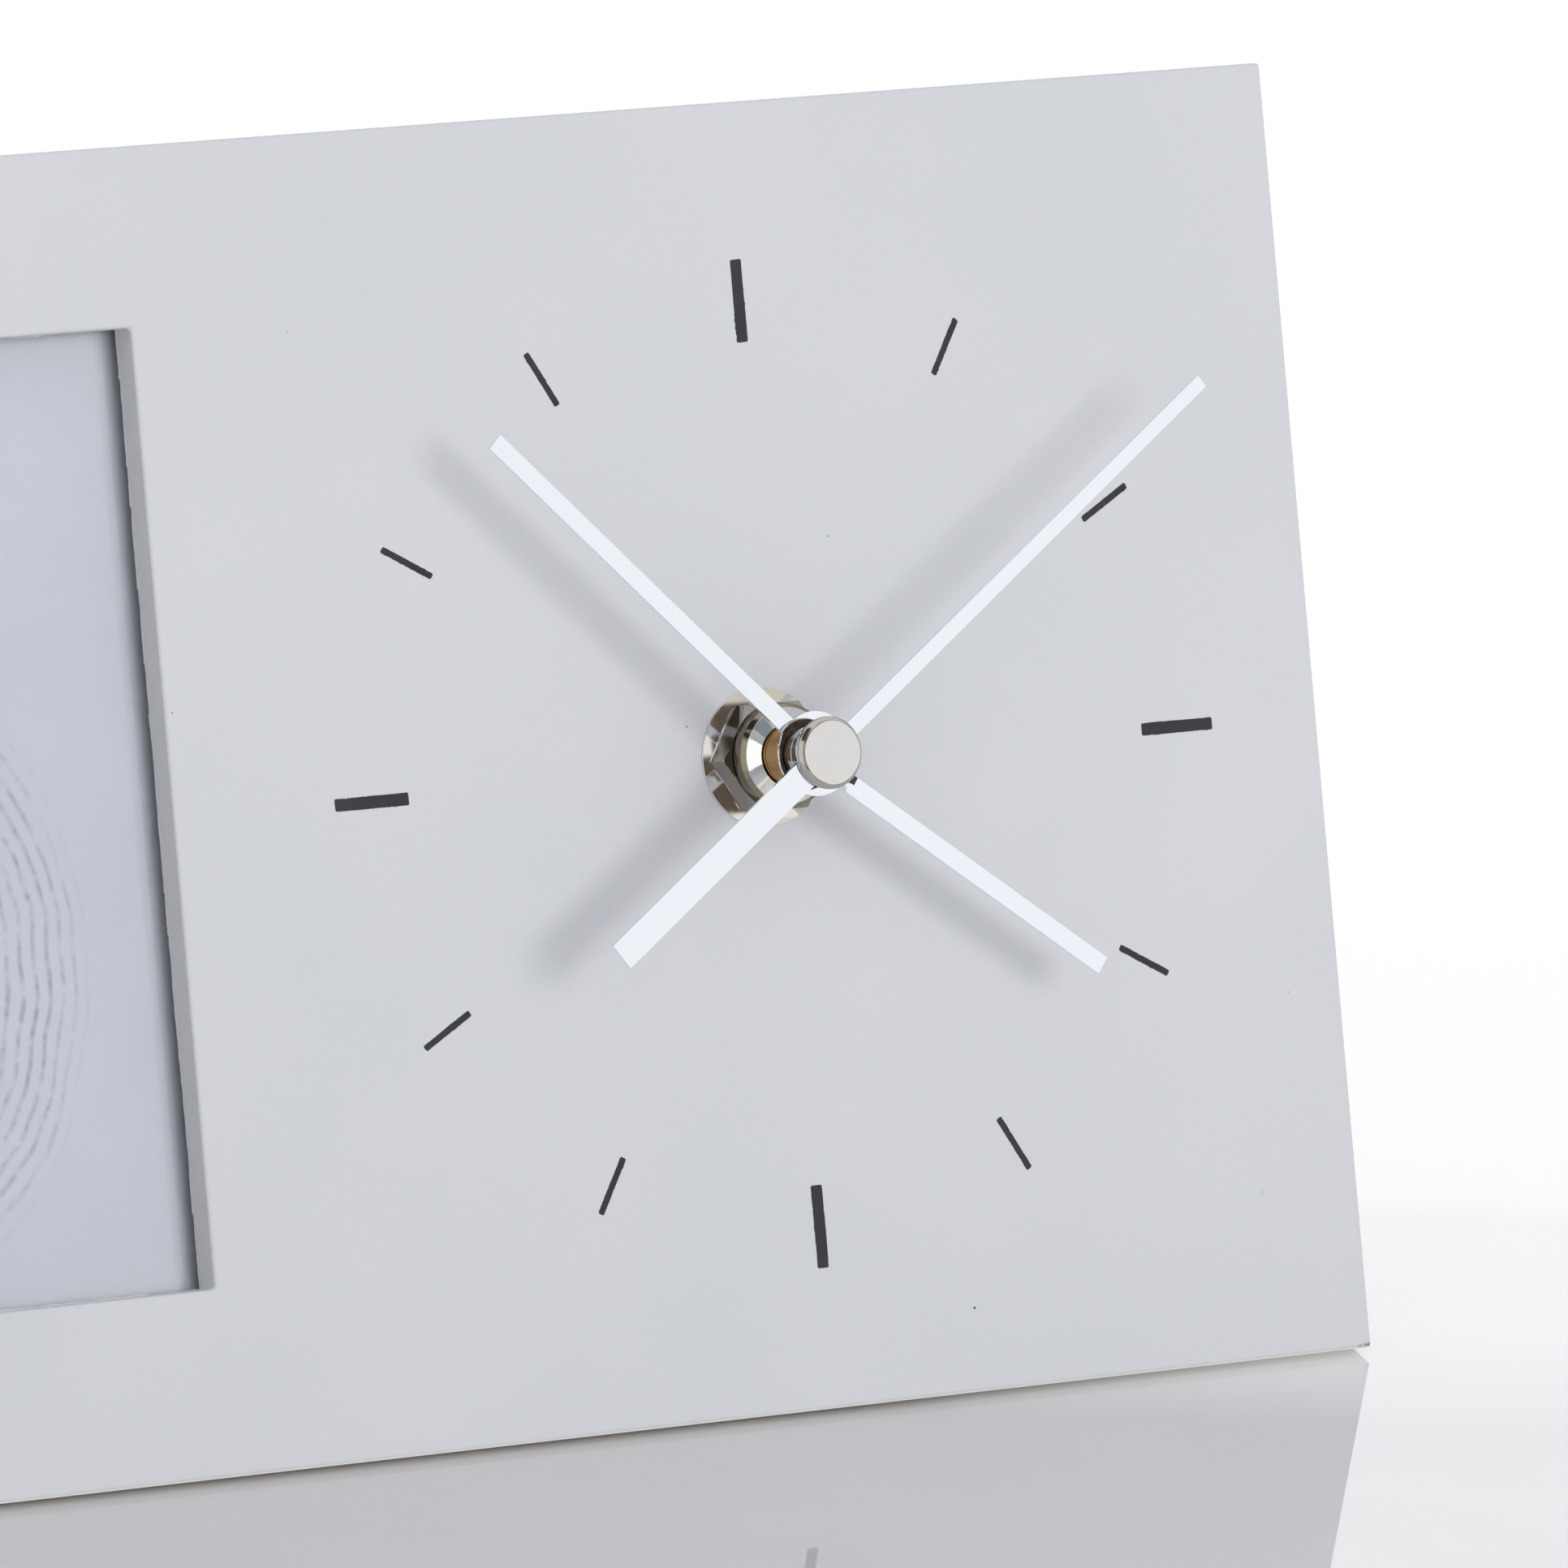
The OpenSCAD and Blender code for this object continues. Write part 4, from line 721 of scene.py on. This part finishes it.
def slope(axis):
    """A ray's slope along one of the board's axes against the one out of its face."""
    return room.math("DIVIDE", room.dot(direction, axis), room.math("MAXIMUM", room.dot(direction, W), 0.05))


def within(value, low, high, soft=0.015):
    """1 between two values, with a short soft edge."""
    return room.math("MULTIPLY", room.remap(value, low - soft, low + soft),
                     room.remap(value, high + soft, high - soft))


# Soft room light: a little more from the front left than from the right
AMBIENT = 0.68
soft_light = background(room.mix(toward(Vector((-1, -0.4, 0.3)), -0.8, 0.9), (0.78, 0.80, 0.84), (1.20, 1.20, 1.22)),
                        AMBIENT)

# What polished metal and the table mirror: a white room with a brighter back wall and a dark upper left, and patches
# seen from the board, each from and to a slope across and a slope upward
DARK = (0.115, 0.092, 0.070)
ROOM = (
    (0.2, 9.0, 0.60, 2.2, (0.60, 0.63, 0.69)),  # ceiling
    (0.1, 9.0, 0.40, 0.60, (0.72, 0.70, 0.66)),  # the wall below it
    (-0.02, 0.50, -0.40, 0.40, DARK), (-0.90, 0.02, -0.62, 0.75, DARK),  # the dark behind the camera
    (-0.20, 0.20, 0.35, 0.75, (0.27, 0.31, 0.38)), (-0.20, 0.10, -0.58, -0.35, (0.58, 0.59, 0.60)),  # its rims
    (-0.42, -0.05, -0.33, 0.33, (1.28, 1.34, 1.42)), (-0.07, 0.09, 0.03, 0.33, (0.95, 0.97, 1.0)),  # white screens
)
across, upward = slope(U), slope(V)
mirror = room.mix(toward(Vector((0.45, 0.9, 0.18)), 0.75, 0.95), (1.0, 1.0, 1.0), (1.75, 1.75, 1.78))
mirror = room.mix(toward(-0.5 * U + 0.75 * V + 0.43 * W, 0.93, 0.97), mirror, (0.10, 0.085, 0.07))
for u_low, u_high, v_low, v_high, tone in ROOM:
    here = room.math("MULTIPLY", within(across, u_low, u_high), within(upward, v_low, v_high))
    mirror = room.mix(here, mirror, tone)
seen_around = room.mix_shader(ray["Is Glossy Ray"], soft_light, background(mirror))
straight = room.math("MAXIMUM", ray["Is Camera Ray"], ray["Is Transmission Ray"])
room.show(room.mix_shader(straight, seen_around, background((1, 1, 1, 1))), "World Output")

bpy.context.scene.view_settings.view_transform = "Standard"
